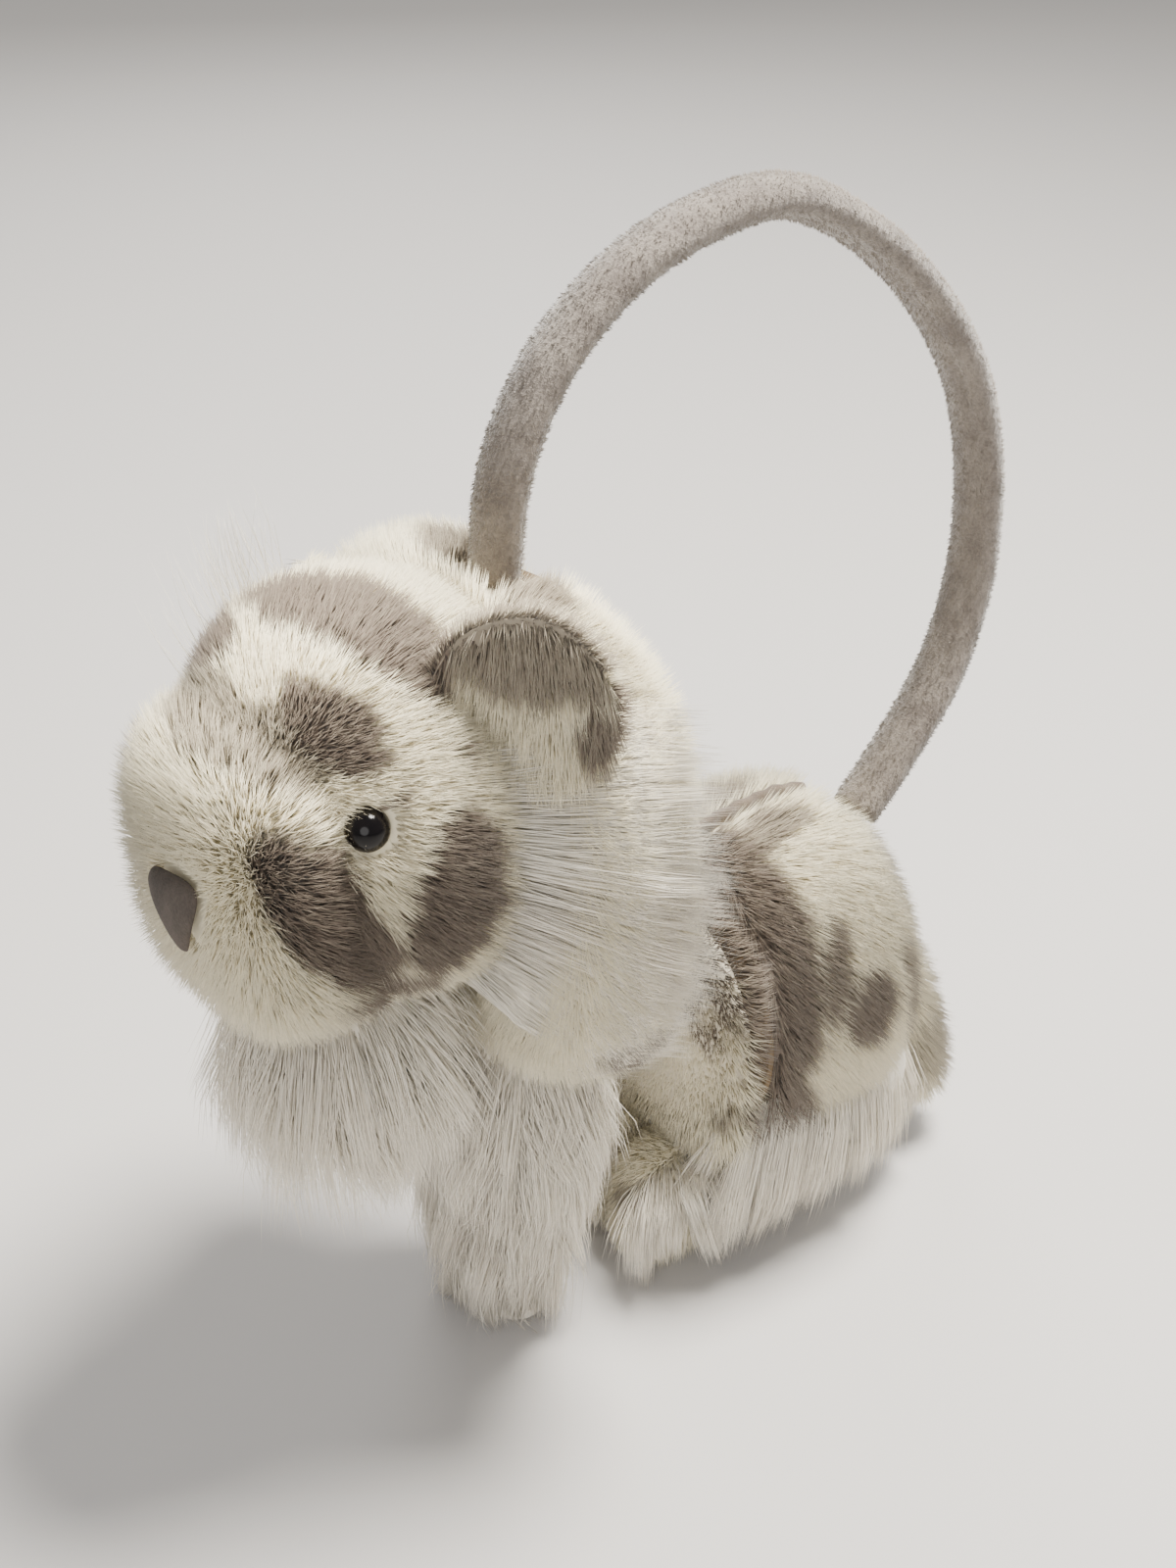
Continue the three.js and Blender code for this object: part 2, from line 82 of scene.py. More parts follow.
# ---------- surfaces ----------
class Surface:
    """A closed triangle mesh in millimetres, with smooth normals."""

    def __init__(self, points, triangles):
        self.points = np.asarray(points, float)
        self.triangles = np.asarray(triangles, int)

    def normals(self):
        a, b, c = (self.points[self.triangles[:, k]] for k in range(3))
        face = np.cross(b - a, c - a)
        total = np.zeros_like(self.points)
        for k in range(3):
            np.add.at(total, self.triangles[:, k], face)
        return unit(total)

    def scatter(self, per_mm2, rng):
        """Random places all over the surface: points and normals."""
        a, b, c = (self.points[self.triangles[:, k]] for k in range(3))
        area = np.linalg.norm(np.cross(b - a, c - a), axis=1) / 2
        count = int(area.sum() * per_mm2)
        pick = np.searchsorted(np.cumsum(area), rng.random(count) * area.sum())
        pick = np.minimum(pick, len(area) - 1)
        u, v = rng.random((2, count))
        fold = u + v > 1
        u[fold], v[fold] = 1 - u[fold], 1 - v[fold]
        weights = vectors(1 - u - v, u, v)
        corners = self.triangles[pick]
        normals = self.normals()
        place = (self.points[corners] * weights[:, :, None]).sum(1)
        return place, unit((normals[corners] * weights[:, :, None]).sum(1))


def ball(centre, radii, power=2.0, rows=40, columns=64, shape=None):
    """A closed ball, blocky when power is over 2, with its poles along X."""
    angles = np.linspace(0, math.pi, rows + 1)[1:-1]
    turns = np.linspace(0, 2 * math.pi, columns, endpoint=False)
    ring = vectors(0.0, np.cos(turns), np.sin(turns))
    points = [np.array([[-1.0, 0, 0]])]
    for angle in angles:
        points.append(ring * math.sin(angle) + np.array([-math.cos(angle), 0, 0]))
    points.append(np.array([[1.0, 0, 0]]))
    points = np.concatenate(points)
    points *= (np.abs(points) ** power).sum(1, keepdims=True) ** (-1 / power)
    points = points * np.array(radii) + np.array(centre)
    if shape:
        points = shape(points)
    return rings_surface(points, columns)


def reach(points, centre, radii, power=2.0):
    """Under 1 inside the ball, 1 on it, over 1 outside."""
    scaled = np.abs((points - np.array(centre)) / np.array(radii))
    return (scaled**power).sum(1) ** (1 / power)


def rings_surface(points, columns):
    """A closed surface from a first pole, rings of equal counts, and a last pole."""
    rings = (len(points) - 2) // columns
    here = np.arange(columns)
    step = (here + 1) % columns
    triangles = [np.stack([np.zeros(columns, int), 1 + step, 1 + here], axis=1)]
    for ring in range(rings - 1):
        low, high = 1 + ring * columns, 1 + (ring + 1) * columns
        triangles.append(np.stack([low + here, low + step, high + step], axis=1))
        triangles.append(np.stack([low + here, high + step, high + here], axis=1))
    last = 1 + (rings - 1) * columns
    triangles.append(np.stack([np.full(columns, len(points) - 1), last + here, last + step], axis=1))
    return outward_facing(Surface(points, np.concatenate(triangles)))


def outward_facing(surface):
    a, b, c = (surface.points[surface.triangles[:, k]] for k in range(3))
    volume = (a * np.cross(b, c)).sum()
    if volume < 0:
        surface.triangles = surface.triangles[:, ::-1]
    return surface


def smooth_profile(profile, per_step=5):
    """More points along a profile of (radius, height), on a smooth curve through the given ones."""
    marks = np.array(profile, float)
    length = np.concatenate([[0], np.cumsum(np.linalg.norm(np.diff(marks, axis=0), axis=1) ** 0.5)])
    slopes = np.gradient(marks, length, axis=0)
    out = [marks[0]]
    for k in range(len(marks) - 1):
        span = length[k + 1] - length[k]
        low = 0 if k in (0, len(marks) - 2) else 1
        for t in np.linspace(0, 1, per_step + 1)[1:]:
            straight = marks[k] * (1 - t) + marks[k + 1] * t
            curved = ((2 * t**3 - 3 * t**2 + 1) * marks[k] + (t**3 - 2 * t**2 + t) * span * slopes[k]
                      + (3 * t**2 - 2 * t**3) * marks[k + 1] + (t**3 - t**2) * span * slopes[k + 1])
            out.append(curved if low else straight)
    out = np.array(out)
    out[:, 0] = np.clip(out[:, 0], 0, marks[:, 0].max())
    return out


def lathe(profile, columns):
    """A closed form turned about Z from (radius, height) pairs that start and end on the axis."""
    angles = np.linspace(0, 2 * math.pi, columns, endpoint=False)
    ring = vectors(np.cos(angles), np.sin(angles), 0.0)
    points = [np.array([[0, 0, profile[0][1]]])]
    for radius, height in profile[1:-1]:
        points.append(ring * radius + np.array([0, 0, height]))
    points.append(np.array([[0, 0, profile[-1][1]]]))
    return rings_surface(np.concatenate(points), columns)


def mesh_object(name, points_mm, blocks, material):
    """A smooth-shaded object, its faces given in blocks of equal-sided faces."""
    mesh = bpy.data.meshes.new(name)
    mesh.vertices.add(len(points_mm))
    mesh.vertices.foreach_set("co", metres(points_mm).astype(np.float32).ravel())
    corners = np.concatenate([block.ravel() for block in blocks])
    sizes = np.concatenate([np.full(len(block), block.shape[1]) for block in blocks])
    mesh.loops.add(len(corners))
    mesh.loops.foreach_set("vertex_index", corners.astype(np.int32))
    mesh.polygons.add(len(sizes))
    starts = np.concatenate([[0], np.cumsum(sizes)[:-1]])
    mesh.polygons.foreach_set("loop_start", starts.astype(np.int32))
    mesh.update(calc_edges=True)
    mesh.validate()
    mesh.polygons.foreach_set("use_smooth", np.ones(len(mesh.polygons), bool))
    mesh.materials.append(material)
    return in_scene(bpy.data.objects.new(name, mesh))


def in_scene(made):
    bpy.context.scene.collection.objects.link(made)
    return made


def set_attribute(mesh, name, values):
    layer = mesh.attributes.new(name, "FLOAT_VECTOR", "POINT")
    layer.data.foreach_set("vector", np.asarray(values, np.float32).ravel())


def stand_for(made, body, node):
    """Puts a piece in a CAD node's place."""
    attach(made, body)
    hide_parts(node)


SKIN_STRAND = (0.35, 0.5, 0.5)  # the skin is coloured as a strand is here, and so takes part of the strands' painted root shade: part of its length, shade, tint


def skin(name, surface, material, body, nodes):
    """A stuffed plush form: the cloth under the fur."""
    made = mesh_object(name, surface.points, [surface.triangles], material)
    set_attribute(made.data, "root", surface.points)
    set_attribute(made.data, "strand", np.tile(SKIN_STRAND, (len(surface.points), 1)))
    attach(made, body)
    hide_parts(*nodes)
    return made


# ---------- fur ----------
SIDES = 3  # of each strand
TABLE = 0.6  # the lowest that a hair reaches
REACH_ASIDE = 59.5  # the furthest that it reaches to either side
DEEPEST = 0.2  # keeps a point at a ball's very middle from being thrown far


def push_out(points, solids):
    """Moves points that lie inside any of the balls out to its surface, and up off the table."""
    for centre, radii, power in solids:
        share = reach(points, centre, radii, power)
        inside = share < 1
        middle = np.array(centre)
        points[inside] = middle + (points[inside] - middle) / np.maximum(share[inside], DEEPEST)[:, None]
    points[:, 1] = np.clip(points[:, 1], -REACH_ASIDE, REACH_ASIDE)
    points[:, 2] = np.maximum(points[:, 2], TABLE)
    return points


def grow(name, roots, normals, flow, material, body, slot, seed, length, width=0.34, lift=0.5, bend=0.4,
         droop=0.0, clump=0.26, clump_size=2.6, spread=0.17, segments=1, vary=0.35, wave=0.0,
         along_skin=True, solids=()):
    """Tapered closed strands from the roots, combed along flow and drawn together in tufts.

    lift stands a strand up at its root, bend lays it along the flow towards its tip, and droop lets
    it hang. clump draws the tips in a cell of clump_size together, and wave curls each tuft.
    """
    rng = np.random.default_rng(seed)
    count = len(roots)
    combed = unit(across(flow, normals)) if along_skin else unit(flow)
    start = unit(lift * normals + (1 - lift) * combed + spread * rng.normal(size=(count, 3)))
    end = unit((1 - bend) * start + bend * combed + droop * DOWN)
    long = (np.broadcast_to(length, count) * (1 + vary * (rng.random(count) - 0.6)))[:, None]

    def at(t):
        return roots + long * (t * start + 0.5 * t * t * (end - start))

    warp = roots + 0.9 * np.sin(roots[:, [1, 2, 0]] * 0.9 + seed)
    _, tuft = np.unique(np.floor(warp / clump_size).astype(int), axis=0, return_inverse=True)
    tuft = tuft.ravel()
    members = np.bincount(tuft)[:, None]
    tips = at(1.0)
    middle = np.stack([np.bincount(tuft, weights=tips[:, k]) for k in range(3)], axis=1) / members
    pull = (middle[tuft] - tips) * (clump * (0.6 + 0.8 * rng.random(count)))[:, None]
    sway = wave * rng.normal(size=(len(members), 3))[tuft]
    phase = 2 * math.pi * rng.random(len(members))[tuft][:, None]

    def curl(t):
        return pull * t**1.5 + sway * (t * (np.sin(4 * t + phase) - np.sin(phase)))

    side = unit(np.cross(start, unit(rng.normal(size=(count, 3)))))
    other = np.cross(start, side)
    rings = []
    for k in range(segments):
        t = k / segments
        radius = width / 2 * (1 - 0.75 * t**1.4)
        centre = at(t) + curl(t)
        centre = push_out(centre, solids) if k else centre - 0.5 * normals
        for s in range(SIDES):
            angle = 2 * math.pi * s / SIDES
            rings.append(centre + radius * (math.cos(angle) * side + math.sin(angle) * other))
    rings.append(push_out(tips + curl(1.0), solids))
    points = np.stack(rings, axis=1)
    per = points.shape[1]

    first = (np.arange(count) * per)[:, None]
    quads, tris = [], [[2, 1, 0]]
    for k in range(segments - 1):
        for s in range(SIDES):
            a, b = k * SIDES + s, k * SIDES + (s + 1) % SIDES
            quads.append([a, b, b + SIDES, a + SIDES])
    top = (segments - 1) * SIDES
    for s in range(SIDES):
        tris.append([top + s, top + (s + 1) % SIDES, per - 1])
    blocks = [np.concatenate([first + np.array(face) for face in tris])]
    if quads:
        blocks.append(np.concatenate([first + np.array(face) for face in quads]))

    made = mesh_object(name, points.reshape(-1, 3), blocks, material)
    along = np.append(np.repeat(np.arange(segments) / segments, SIDES), 1.0)
    strand = np.zeros((count, per, 3))
    strand[:, :, 0] = along
    strand[:, :, 1:] = rng.random((count, 1, 2))
    set_attribute(made.data, "root", np.repeat(roots, per, axis=0))
    set_attribute(made.data, "strand", strand.reshape(-1, 3))
    unfold(made.data, roots, per)
    if body:
        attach(made, body)
    return made


def unfold(mesh, roots, per):
    """A UV map named OFBake: each strand in a small patch, by the direction its root lies in."""
    middle = (roots.min(0) + roots.max(0)) / 2
    out = unit(roots - middle)
    u = np.arctan2(out[:, 1], -out[:, 0]) / (2 * math.pi) + 0.5
    v = np.arccos(np.clip(out[:, 2], -1, 1)) / math.pi
    place = np.stack([u, v], axis=1)[:, None, :] * 0.98
    step = np.linspace(0, 0.006, per)[None, :, None] * np.array([1.0, 0.4])
    wobble = np.array([0.0, 0.004]) * (np.arange(per) % SIDES == 1)[None, :, None]
    corner = (place + 0.004 + step + wobble).reshape(-1, 2)
    index = np.empty(len(mesh.loops), np.int32)
    mesh.loops.foreach_get("vertex_index", index)
    mesh.uv_layers.new(name="OFBake").data.foreach_set("uv", corner[index].astype(np.float32).ravel())


def both_sides(name, roots, normals, flow, seed, **options):
    """Grows the fur in two pieces, one on each side of the cat."""
    for side, sign in SIGNS.items():
        mine = (roots[:, 1] < 0) == (sign < 0)
        grow(f"{name}_{side}", roots[mine], normals[mine], flow[mine], seed=seed + sign, **options)


# ---------- materials ----------
def rgb(r, g, b):
    """A colour as seen on a screen, 0 to 255, as the renderer's linear value."""
    def linear(c):
        c /= 255
        return c / 12.92 if c <= 0.04045 else ((c + 0.055) / 1.055) ** 2.4
    return (linear(r), linear(g), linear(b), 1.0)


CREAM = rgb(252, 243, 214)
WHITE = rgb(253, 247, 232)
WHITE_SHADE = rgb(236, 225, 208)
TAUPE = rgb(119, 106, 94)
VELOUR = rgb(140, 132, 123)
VELOUR_DARK = rgb(104, 96, 90)


class Graph:
    """Short calls for building a material's node tree."""

    def __init__(self, tree):
        self.tree = tree

    def node(self, kind, **settings):
        made = self.tree.nodes.new(kind)
        for key, value in settings.items():
            setattr(made, key, value)
        return made

    def link(self, source, target):
        if isinstance(source, bpy.types.NodeSocket):
            self.tree.links.new(source, target)
        else:
            target.default_value = source

    def math(self, operation, a, b=0.0, clamp=False):
        made = self.node("ShaderNodeMath", operation=operation, use_clamp=clamp)
        self.link(a, made.inputs[0])
        self.link(b, made.inputs[1])
        return made.outputs[0]

    def mix(self, factor, a, b, blend="MIX"):
        made = self.node("ShaderNodeMix", data_type="RGBA", blend_type=blend)
        self.link(factor, made.inputs["Factor"])
        self.link(a, made.inputs["A"])
        self.link(b, made.inputs["B"])
        return made.outputs["Result"]

    def spread(self, value, low, high, out_low=0.0, out_high=1.0, smooth=False):
        made = self.node("ShaderNodeMapRange", interpolation_type="SMOOTHSTEP" if smooth else "LINEAR")
        for key, item in (("Value", value), ("From Min", low), ("From Max", high)):
            self.link(item, made.inputs[key])
        self.link(out_low, made.inputs["To Min"])
        self.link(out_high, made.inputs["To Max"])
        return made.outputs["Result"]

    def noise(self, vector, scale, detail=2.0, roughness=0.5, colour=False):
        made = self.node("ShaderNodeTexNoise")
        self.link(vector, made.inputs["Vector"])
        made.inputs["Scale"].default_value = scale
        made.inputs["Detail"].default_value = detail
        made.inputs["Roughness"].default_value = roughness
        return made.outputs["Color" if colour else "Fac"]


def new_material(name, **surface):
    made = bpy.data.materials.new(name)
    made.use_nodes = True
    graph = Graph(made.node_tree)
    shader = made.node_tree.nodes["Principled BSDF"]
    for key, value in surface.items():
        shader.inputs[key.replace("_", " ")].default_value = value
    return made, graph, shader


# Patches of the coat: centre, half-sizes, turn in degrees about X, Y and Z, and depth of the taupe.
# Those of PAIRED are given at positive Y, and both sides of the cat wear them.
PAIRED = [
    ((-58.5, 20, 172.5), (5.6, 12.5, 6.5), (-19, 0, -17), 1.0),  # wedge over the eye
    ((-68, 6, 167), (7, 22, 8), (0, 0, -10), 0.7),  # pale saddle on the muzzle's bridge
    ((-64.5, 27, 138), (8.2, 9, 22), (21, -24, 0), 1.0),  # the cheek's V, front arm
    ((-47, 38, 141), (8.6, 9, 23), (-7, 10, 0), 1.0),  # the cheek's V, back arm
    ((-55.5, 31, 118), (11.5, 11, 10), (0, 0, 0), 1.0),  # where the V's arms meet
    ((-53.5, 34, 164), (3.6, 4.5, 3.2), (0, 0, 0), 0.9),  # spot behind the eye
    ((-25, 36, 188), (15, 17, 9), (0, 0, 0), 0.8),  # tip of the ear
    ((-17, 46, 173), (5, 5, 8), (0, 0, 0), 0.9),  # outer edge of the ear
    ((-40, 35, 171), (2.4, 4, 8), (0, 0, 0), 0.8),  # in front of the ear
    ((-8, 12, 182), (9, 9, 6), (0, 0, 0), 0.8),  # on the head muff's rim
    ((-8, 42, 100), (9, 9, 8), (0, 0, 0), 0.9),  # low on the head muff
    ((43, 16, 80), (12, 28, 33), (12, 0, 0), 1.0),  # broad stripe down the front of the rump
    ((58, 8, 105), (11, 5.5, 5), (0, 0, 0), 0.8),  # beside the spine
    ((44, 24, 50), (11, 15, 12), (0, 0, 0), 1.0),  # low on the rump's front, above the fringe
    ((58, 33, 84), (3.8, 9, 15), (0, 14, 0), 0.9),  # narrow stripes further back
    ((66, 37, 70), (8, 8, 10), (0, 0, 0), 1.0),
    ((82, 32, 66), (4, 10, 16), (0, -10, 0), 0.8),
    ((88, 16, 92), (6, 9, 8), (0, 0, 0), 0.7),  # above the tail
    ((24, 12, 20), (6, 7, 6), (0, 0, 0), 0.7),  # spots on the feet
    ((46, 16, 9), (7, 6, 5), (0, 0, 0), 0.8),
]
SINGLE = [
    ((105, -10, 30), (12, 12, 13), (0, 0, 0), 0.5),  # pale patch on the tail
    ((-45, -5, 184), (8.6, 27, 16), (0, 0, 15), 1.0),  # band across the forehead
]


WANDER = (8, 8, 8)  # how far the patches' outlines stray, in millimetres
PATCH_EDGE = (1.1, 0.9)  # where a patch starts and is full, in parts of its half-size


def coat_group():
    """The coat's pattern: 0 on cream fur, 1 on full taupe, from a place in millimetres."""
    tree = bpy.data.node_groups.new("coat pattern", "ShaderNodeTree")
    tree.interface.new_socket("Root", in_out="INPUT", socket_type="NodeSocketVector")
    tree.interface.new_socket("Taupe", in_out="OUTPUT", socket_type="NodeSocketFloat")
    graph = Graph(tree)
    entry = graph.node("NodeGroupInput")
    leave = graph.node("NodeGroupOutput")
    wander = graph.node("ShaderNodeVectorMath", operation="SUBTRACT")
    graph.link(graph.noise(entry.outputs["Root"], 0.16, 3.0, 0.6, colour=True), wander.inputs[0])
    wander.inputs[1].default_value = (0.5, 0.5, 0.5)
    warped = graph.node("ShaderNodeVectorMath", operation="MULTIPLY_ADD")
    graph.link(wander.outputs[0], warped.inputs[0])
    warped.inputs[1].default_value = WANDER
    graph.link(entry.outputs["Root"], warped.inputs[2])
    parts = graph.node("ShaderNodeSeparateXYZ")
    graph.link(warped.outputs[0], parts.inputs[0])
    mirrored = graph.node("ShaderNodeCombineXYZ")
    graph.link(parts.outputs["X"], mirrored.inputs["X"])
    graph.link(graph.math("ABSOLUTE", parts.outputs["Y"]), mirrored.inputs["Y"])
    graph.link(parts.outputs["Z"], mirrored.inputs["Z"])
    total = 0.0
    for place, patches in ((mirrored.outputs[0], PAIRED), (warped.outputs[0], SINGLE)):
        for centre, half, turn, depth in patches:
            local = graph.node("ShaderNodeMapping", vector_type="TEXTURE")
            graph.link(place, local.inputs["Vector"])
            local.inputs["Location"].default_value = centre
            local.inputs["Rotation"].default_value = [math.radians(a) for a in turn]
            local.inputs["Scale"].default_value = half
            away = graph.node("ShaderNodeVectorMath", operation="LENGTH")
            graph.link(local.outputs[0], away.inputs[0])
            patch = graph.spread(away.outputs["Value"], *PATCH_EDGE, 0.0, depth, smooth=True)
            total = graph.math("MAXIMUM", patch, total)
    graph.link(total, leave.inputs["Taupe"])
    return tree


COAT = coat_group()
# the strands' painted shading ends here at the tip, as a touch of painted light
PAINTED_TIP_LIGHT = 1.03
STRAND_SHADES = (0.88, 1.06)
TUFT_SHADES = (0.93, 1.04)
SOFT_EDGE = 0.14  # how far a strand's own tint moves it between cream and taupe


def fur_material(name, pale, dark, patterned=True, painted_root_shade=0.78):
    """Plush strands: patched or blotched colour, painted shade darkening each strand towards its root and
    painted light on its tip, each strand its own random tone.
    """
    made, graph, shader = new_material(name, Roughness=0.85, Sheen_Weight=0.1, Sheen_Roughness=0.5)
    root = graph.node("ShaderNodeAttribute", attribute_name="root")
    strand = graph.node("ShaderNodeAttribute", attribute_name="strand")
    parts = graph.node("ShaderNodeSeparateXYZ")
    graph.link(strand.outputs["Vector"], parts.inputs[0])
    along, shade, tint = (parts.outputs[k] for k in ("X", "Y", "Z"))
    if patterned:
        pattern = graph.node("ShaderNodeGroup", node_tree=COAT)
        graph.link(root.outputs["Vector"], pattern.inputs["Root"])
        own = graph.spread(tint, 0, 1, -SOFT_EDGE, SOFT_EDGE)
        soft = graph.math("ADD", pattern.outputs["Taupe"], own, clamp=True)
        colour = graph.mix(soft, pale, dark)
    else:
        blotch = graph.spread(graph.noise(root.outputs["Vector"], 0.07, 2.0), 0.35, 0.7, 0.0, 1.0)
        colour = graph.mix(graph.math("MULTIPLY", blotch, 0.35), pale, dark)
    # painted shade: each strand darkens towards its root, where the pile shades itself, and is painted a
    # little lighter at its tip
    depth = graph.spread(along, 0.0, 0.8, painted_root_shade, PAINTED_TIP_LIGHT)
    tufted = graph.spread(graph.noise(root.outputs["Vector"], 0.3, 2.0), 0.3, 0.7, *TUFT_SHADES)
    level = graph.math("MULTIPLY", depth, graph.spread(shade, 0, 1, *STRAND_SHADES))
    level = graph.math("MULTIPLY", level, tufted)
    grey = graph.node("ShaderNodeCombineColor")
    for key in ("Red", "Green", "Blue"):
        graph.link(level, grey.inputs[key])
    graph.link(graph.mix(1.0, colour, grey.outputs[0], "MULTIPLY"), shader.inputs["Base Color"])
    return made


PLUSH = fur_material("plush coat", CREAM, TAUPE)
LONG_WHITE = fur_material("long white fur", WHITE, WHITE_SHADE, patterned=False, painted_root_shade=0.82)
VELOUR_PILE = fur_material("velour pile", VELOUR, VELOUR_DARK, patterned=False, painted_root_shade=0.8)


NAP_DEPTH = 0.0006


def fabric_material(name, pale, dark, scale, bump, sheen=0.4, stretch=(1, 1, 1)):
    """Short cloth pile: mottled colour and a fine raised nap, from the place on the piece."""
    made, graph, shader = new_material(name, Roughness=0.9, Sheen_Weight=sheen, Sheen_Roughness=0.4)
    place = graph.node("ShaderNodeTexCoord").outputs["Object"]
    mapped = graph.node("ShaderNodeMapping")
    mapped.inputs["Scale"].default_value = stretch
    graph.link(place, mapped.inputs["Vector"])
    broad = graph.noise(mapped.outputs[0], scale / 12, 3.0, 0.6)
    fine = graph.noise(mapped.outputs[0], scale, 3.0, 0.7)
    blend = graph.math("ADD", graph.math("MULTIPLY", broad, 0.55), graph.math("MULTIPLY", fine, 0.45))
    graph.link(graph.mix(graph.spread(blend, 0.38, 0.62), dark, pale), shader.inputs["Base Color"])
    raised = graph.node("ShaderNodeBump")
    raised.inputs["Strength"].default_value = bump
    raised.inputs["Distance"].default_value = NAP_DEPTH
    graph.link(fine, raised.inputs["Height"])
    graph.link(raised.outputs[0], shader.inputs["Normal"])
    return made


VELOUR_CLOTH = fabric_material("velour", VELOUR, VELOUR_DARK, 1500, 0.7, sheen=0.7)
FLEECE = fabric_material("ear side fleece", rgb(236, 228, 208), rgb(214, 204, 184), 700, 0.8)
FELT = fabric_material("nose felt", rgb(84, 76, 70), rgb(60, 54, 50), 2600, 0.5, sheen=0.0,
                       stretch=(1, 1, 0.5))
WEBBING = fabric_material("webbing", rgb(190, 180, 166), rgb(160, 150, 136), 2200, 0.8, stretch=(1, 1, 3))
TAPE = fabric_material("seam tape", rgb(140, 126, 112), rgb(108, 96, 86), 2400, 0.7, stretch=(2, 1, 1))
BOARD = fabric_material("pressed board", rgb(150, 128, 98), rgb(126, 106, 80), 900, 0.3, sheen=0.0)


def hard_material(name, colour, other, scale, roughness, metallic=0.0, specular=0.5):
    """Metal or moulded plastic: a fine speckle in colour and gloss."""
    made, graph, shader = new_material(name, Metallic=metallic, Specular_IOR_Level=specular)
    place = graph.node("ShaderNodeTexCoord").outputs["Object"]
    speckle = graph.noise(place, scale, 4.0, 0.6)
    graph.link(graph.mix(graph.spread(speckle, 0.3, 0.7), colour, other), shader.inputs["Base Color"])
    graph.link(graph.spread(speckle, 0.2, 0.8, roughness * 0.8, roughness * 1.25), shader.inputs["Roughness"])
    return made


EYE_GLOSS = hard_material("eye gloss", rgb(8, 7, 9), rgb(14, 11, 12), 400, 0.12, specular=0.22)
STEEL = hard_material("spring steel", rgb(176, 178, 182), rgb(150, 150, 156), 900, 0.32, metallic=1.0)
CAP_PLASTIC = hard_material("cap plastic", rgb(44, 44, 48), rgb(34, 34, 37), 600, 0.5)
WASHER_PLASTIC = hard_material("washer plastic", rgb(226, 226, 224), rgb(208, 208, 206), 500, 0.45)

# ---------- camera, floor and lights ----------
FOCAL = 52
SENSOR = 36
CAMERA_PLACE = (-238.7, -320.1, 363.0)
CAMERA_DIRECTION = (0.5395, 0.678, -0.5)


def stand(name, data, place, direction):
    """Stands a camera or light at a place in metres, looking along a direction."""
    made = in_scene(bpy.data.objects.new(name, data))
    made.location = place
    made.rotation_mode = "QUATERNION"
    made.rotation_quaternion = Vector(direction).to_track_quat("-Z", "Y")
    return made


camera_data = bpy.data.cameras.new("camera")
camera_data.lens = FOCAL
camera_data.sensor_fit = "VERTICAL"
camera_data.sensor_height = SENSOR
camera_data.clip_start = 0.01
bpy.context.scene.camera = stand("camera", camera_data, metres(CAMERA_PLACE), CAMERA_DIRECTION)


def add_light(name, place, target, size, power, colour):
    data = bpy.data.lights.new(name, "AREA")
    data.shape = "DISK"
    data.size = size
    data.energy = power
    data.color = colour
    stand(name, data, place, Vector(target) - Vector(place))


AIM = (0.0, 0.0, 0.11)
add_light("key", (0.25, -0.1, 1.0), AIM, 0.35, 34.0, (1.0, 0.95, 0.86))
add_light("fill", (-0.9, -0.8, 0.55), AIM, 0.9, 7.0, (1.0, 0.98, 0.97))
add_light("rim", (0.5, 0.9, 0.7), AIM, 0.7, 6.0, (1.0, 0.98, 0.95))

WORLD_COLOUR = (0.88, 0.86, 0.83, 1)
WORLD_STRENGTH = 0.5
world = bpy.data.worlds.new("studio")
bpy.context.scene.world = world
world.use_nodes = True
background = world.node_tree.nodes["Background"]
background.inputs["Color"].default_value = WORLD_COLOUR
background.inputs["Strength"].default_value = WORLD_STRENGTH

FLOOR_HALF = 12
corners = [(x * FLOOR_HALF, y * FLOOR_HALF, 0) for x, y in ((-1, -1), (1, -1), (1, 1), (-1, 1))]
floor_mesh = bpy.data.meshes.new("floor")
floor_mesh.from_pydata(corners, [], [(0, 1, 2, 3)])
floor = in_scene(bpy.data.objects.new("floor", floor_mesh))
floor_material, _, floor_shader = new_material("floor", Roughness=0.7)
floor_shader.inputs["Base Color"].default_value = rgb(200, 198, 197)
floor_mesh.materials.append(floor_material)

# ---------- the head ----------
HEAD = ((-37, 0, 147), (34, 38, 39))
MUZZLE = ((-61, 0, 139), (17, 27, 28), 3.0)
MUFF = ((-9, 0, 132), (11, 49, 49))
MUFF_FRONT = -20
EYE_PLACE = np.array([-57.2, 29.8, 157.6])
EYE_RADIUS = 4.2
NOSE_PLACE = np.array([-78.3, 0.0, 135.0])
on_head = {"body": "head_muff", "slot": "plush_cream", "material": PLUSH}
on_rump = {"body": "rear_muff", "slot": "plush_cream", "material": PLUSH}


def rooted(surface, per_mm2, seed, allowed):
    """Places for hair on a surface, where allowed says so: points and normals."""
    roots, normals = surface.scatter(per_mm2, np.random.default_rng(seed))
    keep = allowed(roots, normals)
    return roots[keep], normals[keep]


def hang(name, roots, normals, flow, body, seed, length, **options):
    """Grows long white fur."""
    looks = {"width": 0.25, "bend": 0.75, "clump": 0.55, "segments": 3, "vary": 0.5, "wave": 1.0}
    looks.update(options)
    grow(name, roots, normals, flow, LONG_WHITE, body, "plush_long_white", seed, length, **looks)


def bump(away, place, size):
    """1 at a place on both sides of the cat, fading to 0 about a size away."""
    sides = vectors(away[:, 0], np.abs(away[:, 1]), away[:, 2])
    return np.exp(-(((sides - np.array(place)) / np.array(size)) ** 2).sum(1))


def head_shape(points):
    """Brow and cheeks, and the flat back that sits on the muff."""
    away = points - np.array(HEAD[0])
    swell = 2.0 * bump(away, (-16, 16, 30), (14, 12, 12)) + 1.6 * bump(away, (-4, 34, -12), (18, 14, 18))
    points = points + unit(away) * swell[:, None]
    points[:, 0] = np.minimum(points[:, 0], MUFF_FRONT - 0.4)
    return points


JUST_OFF = 1.012


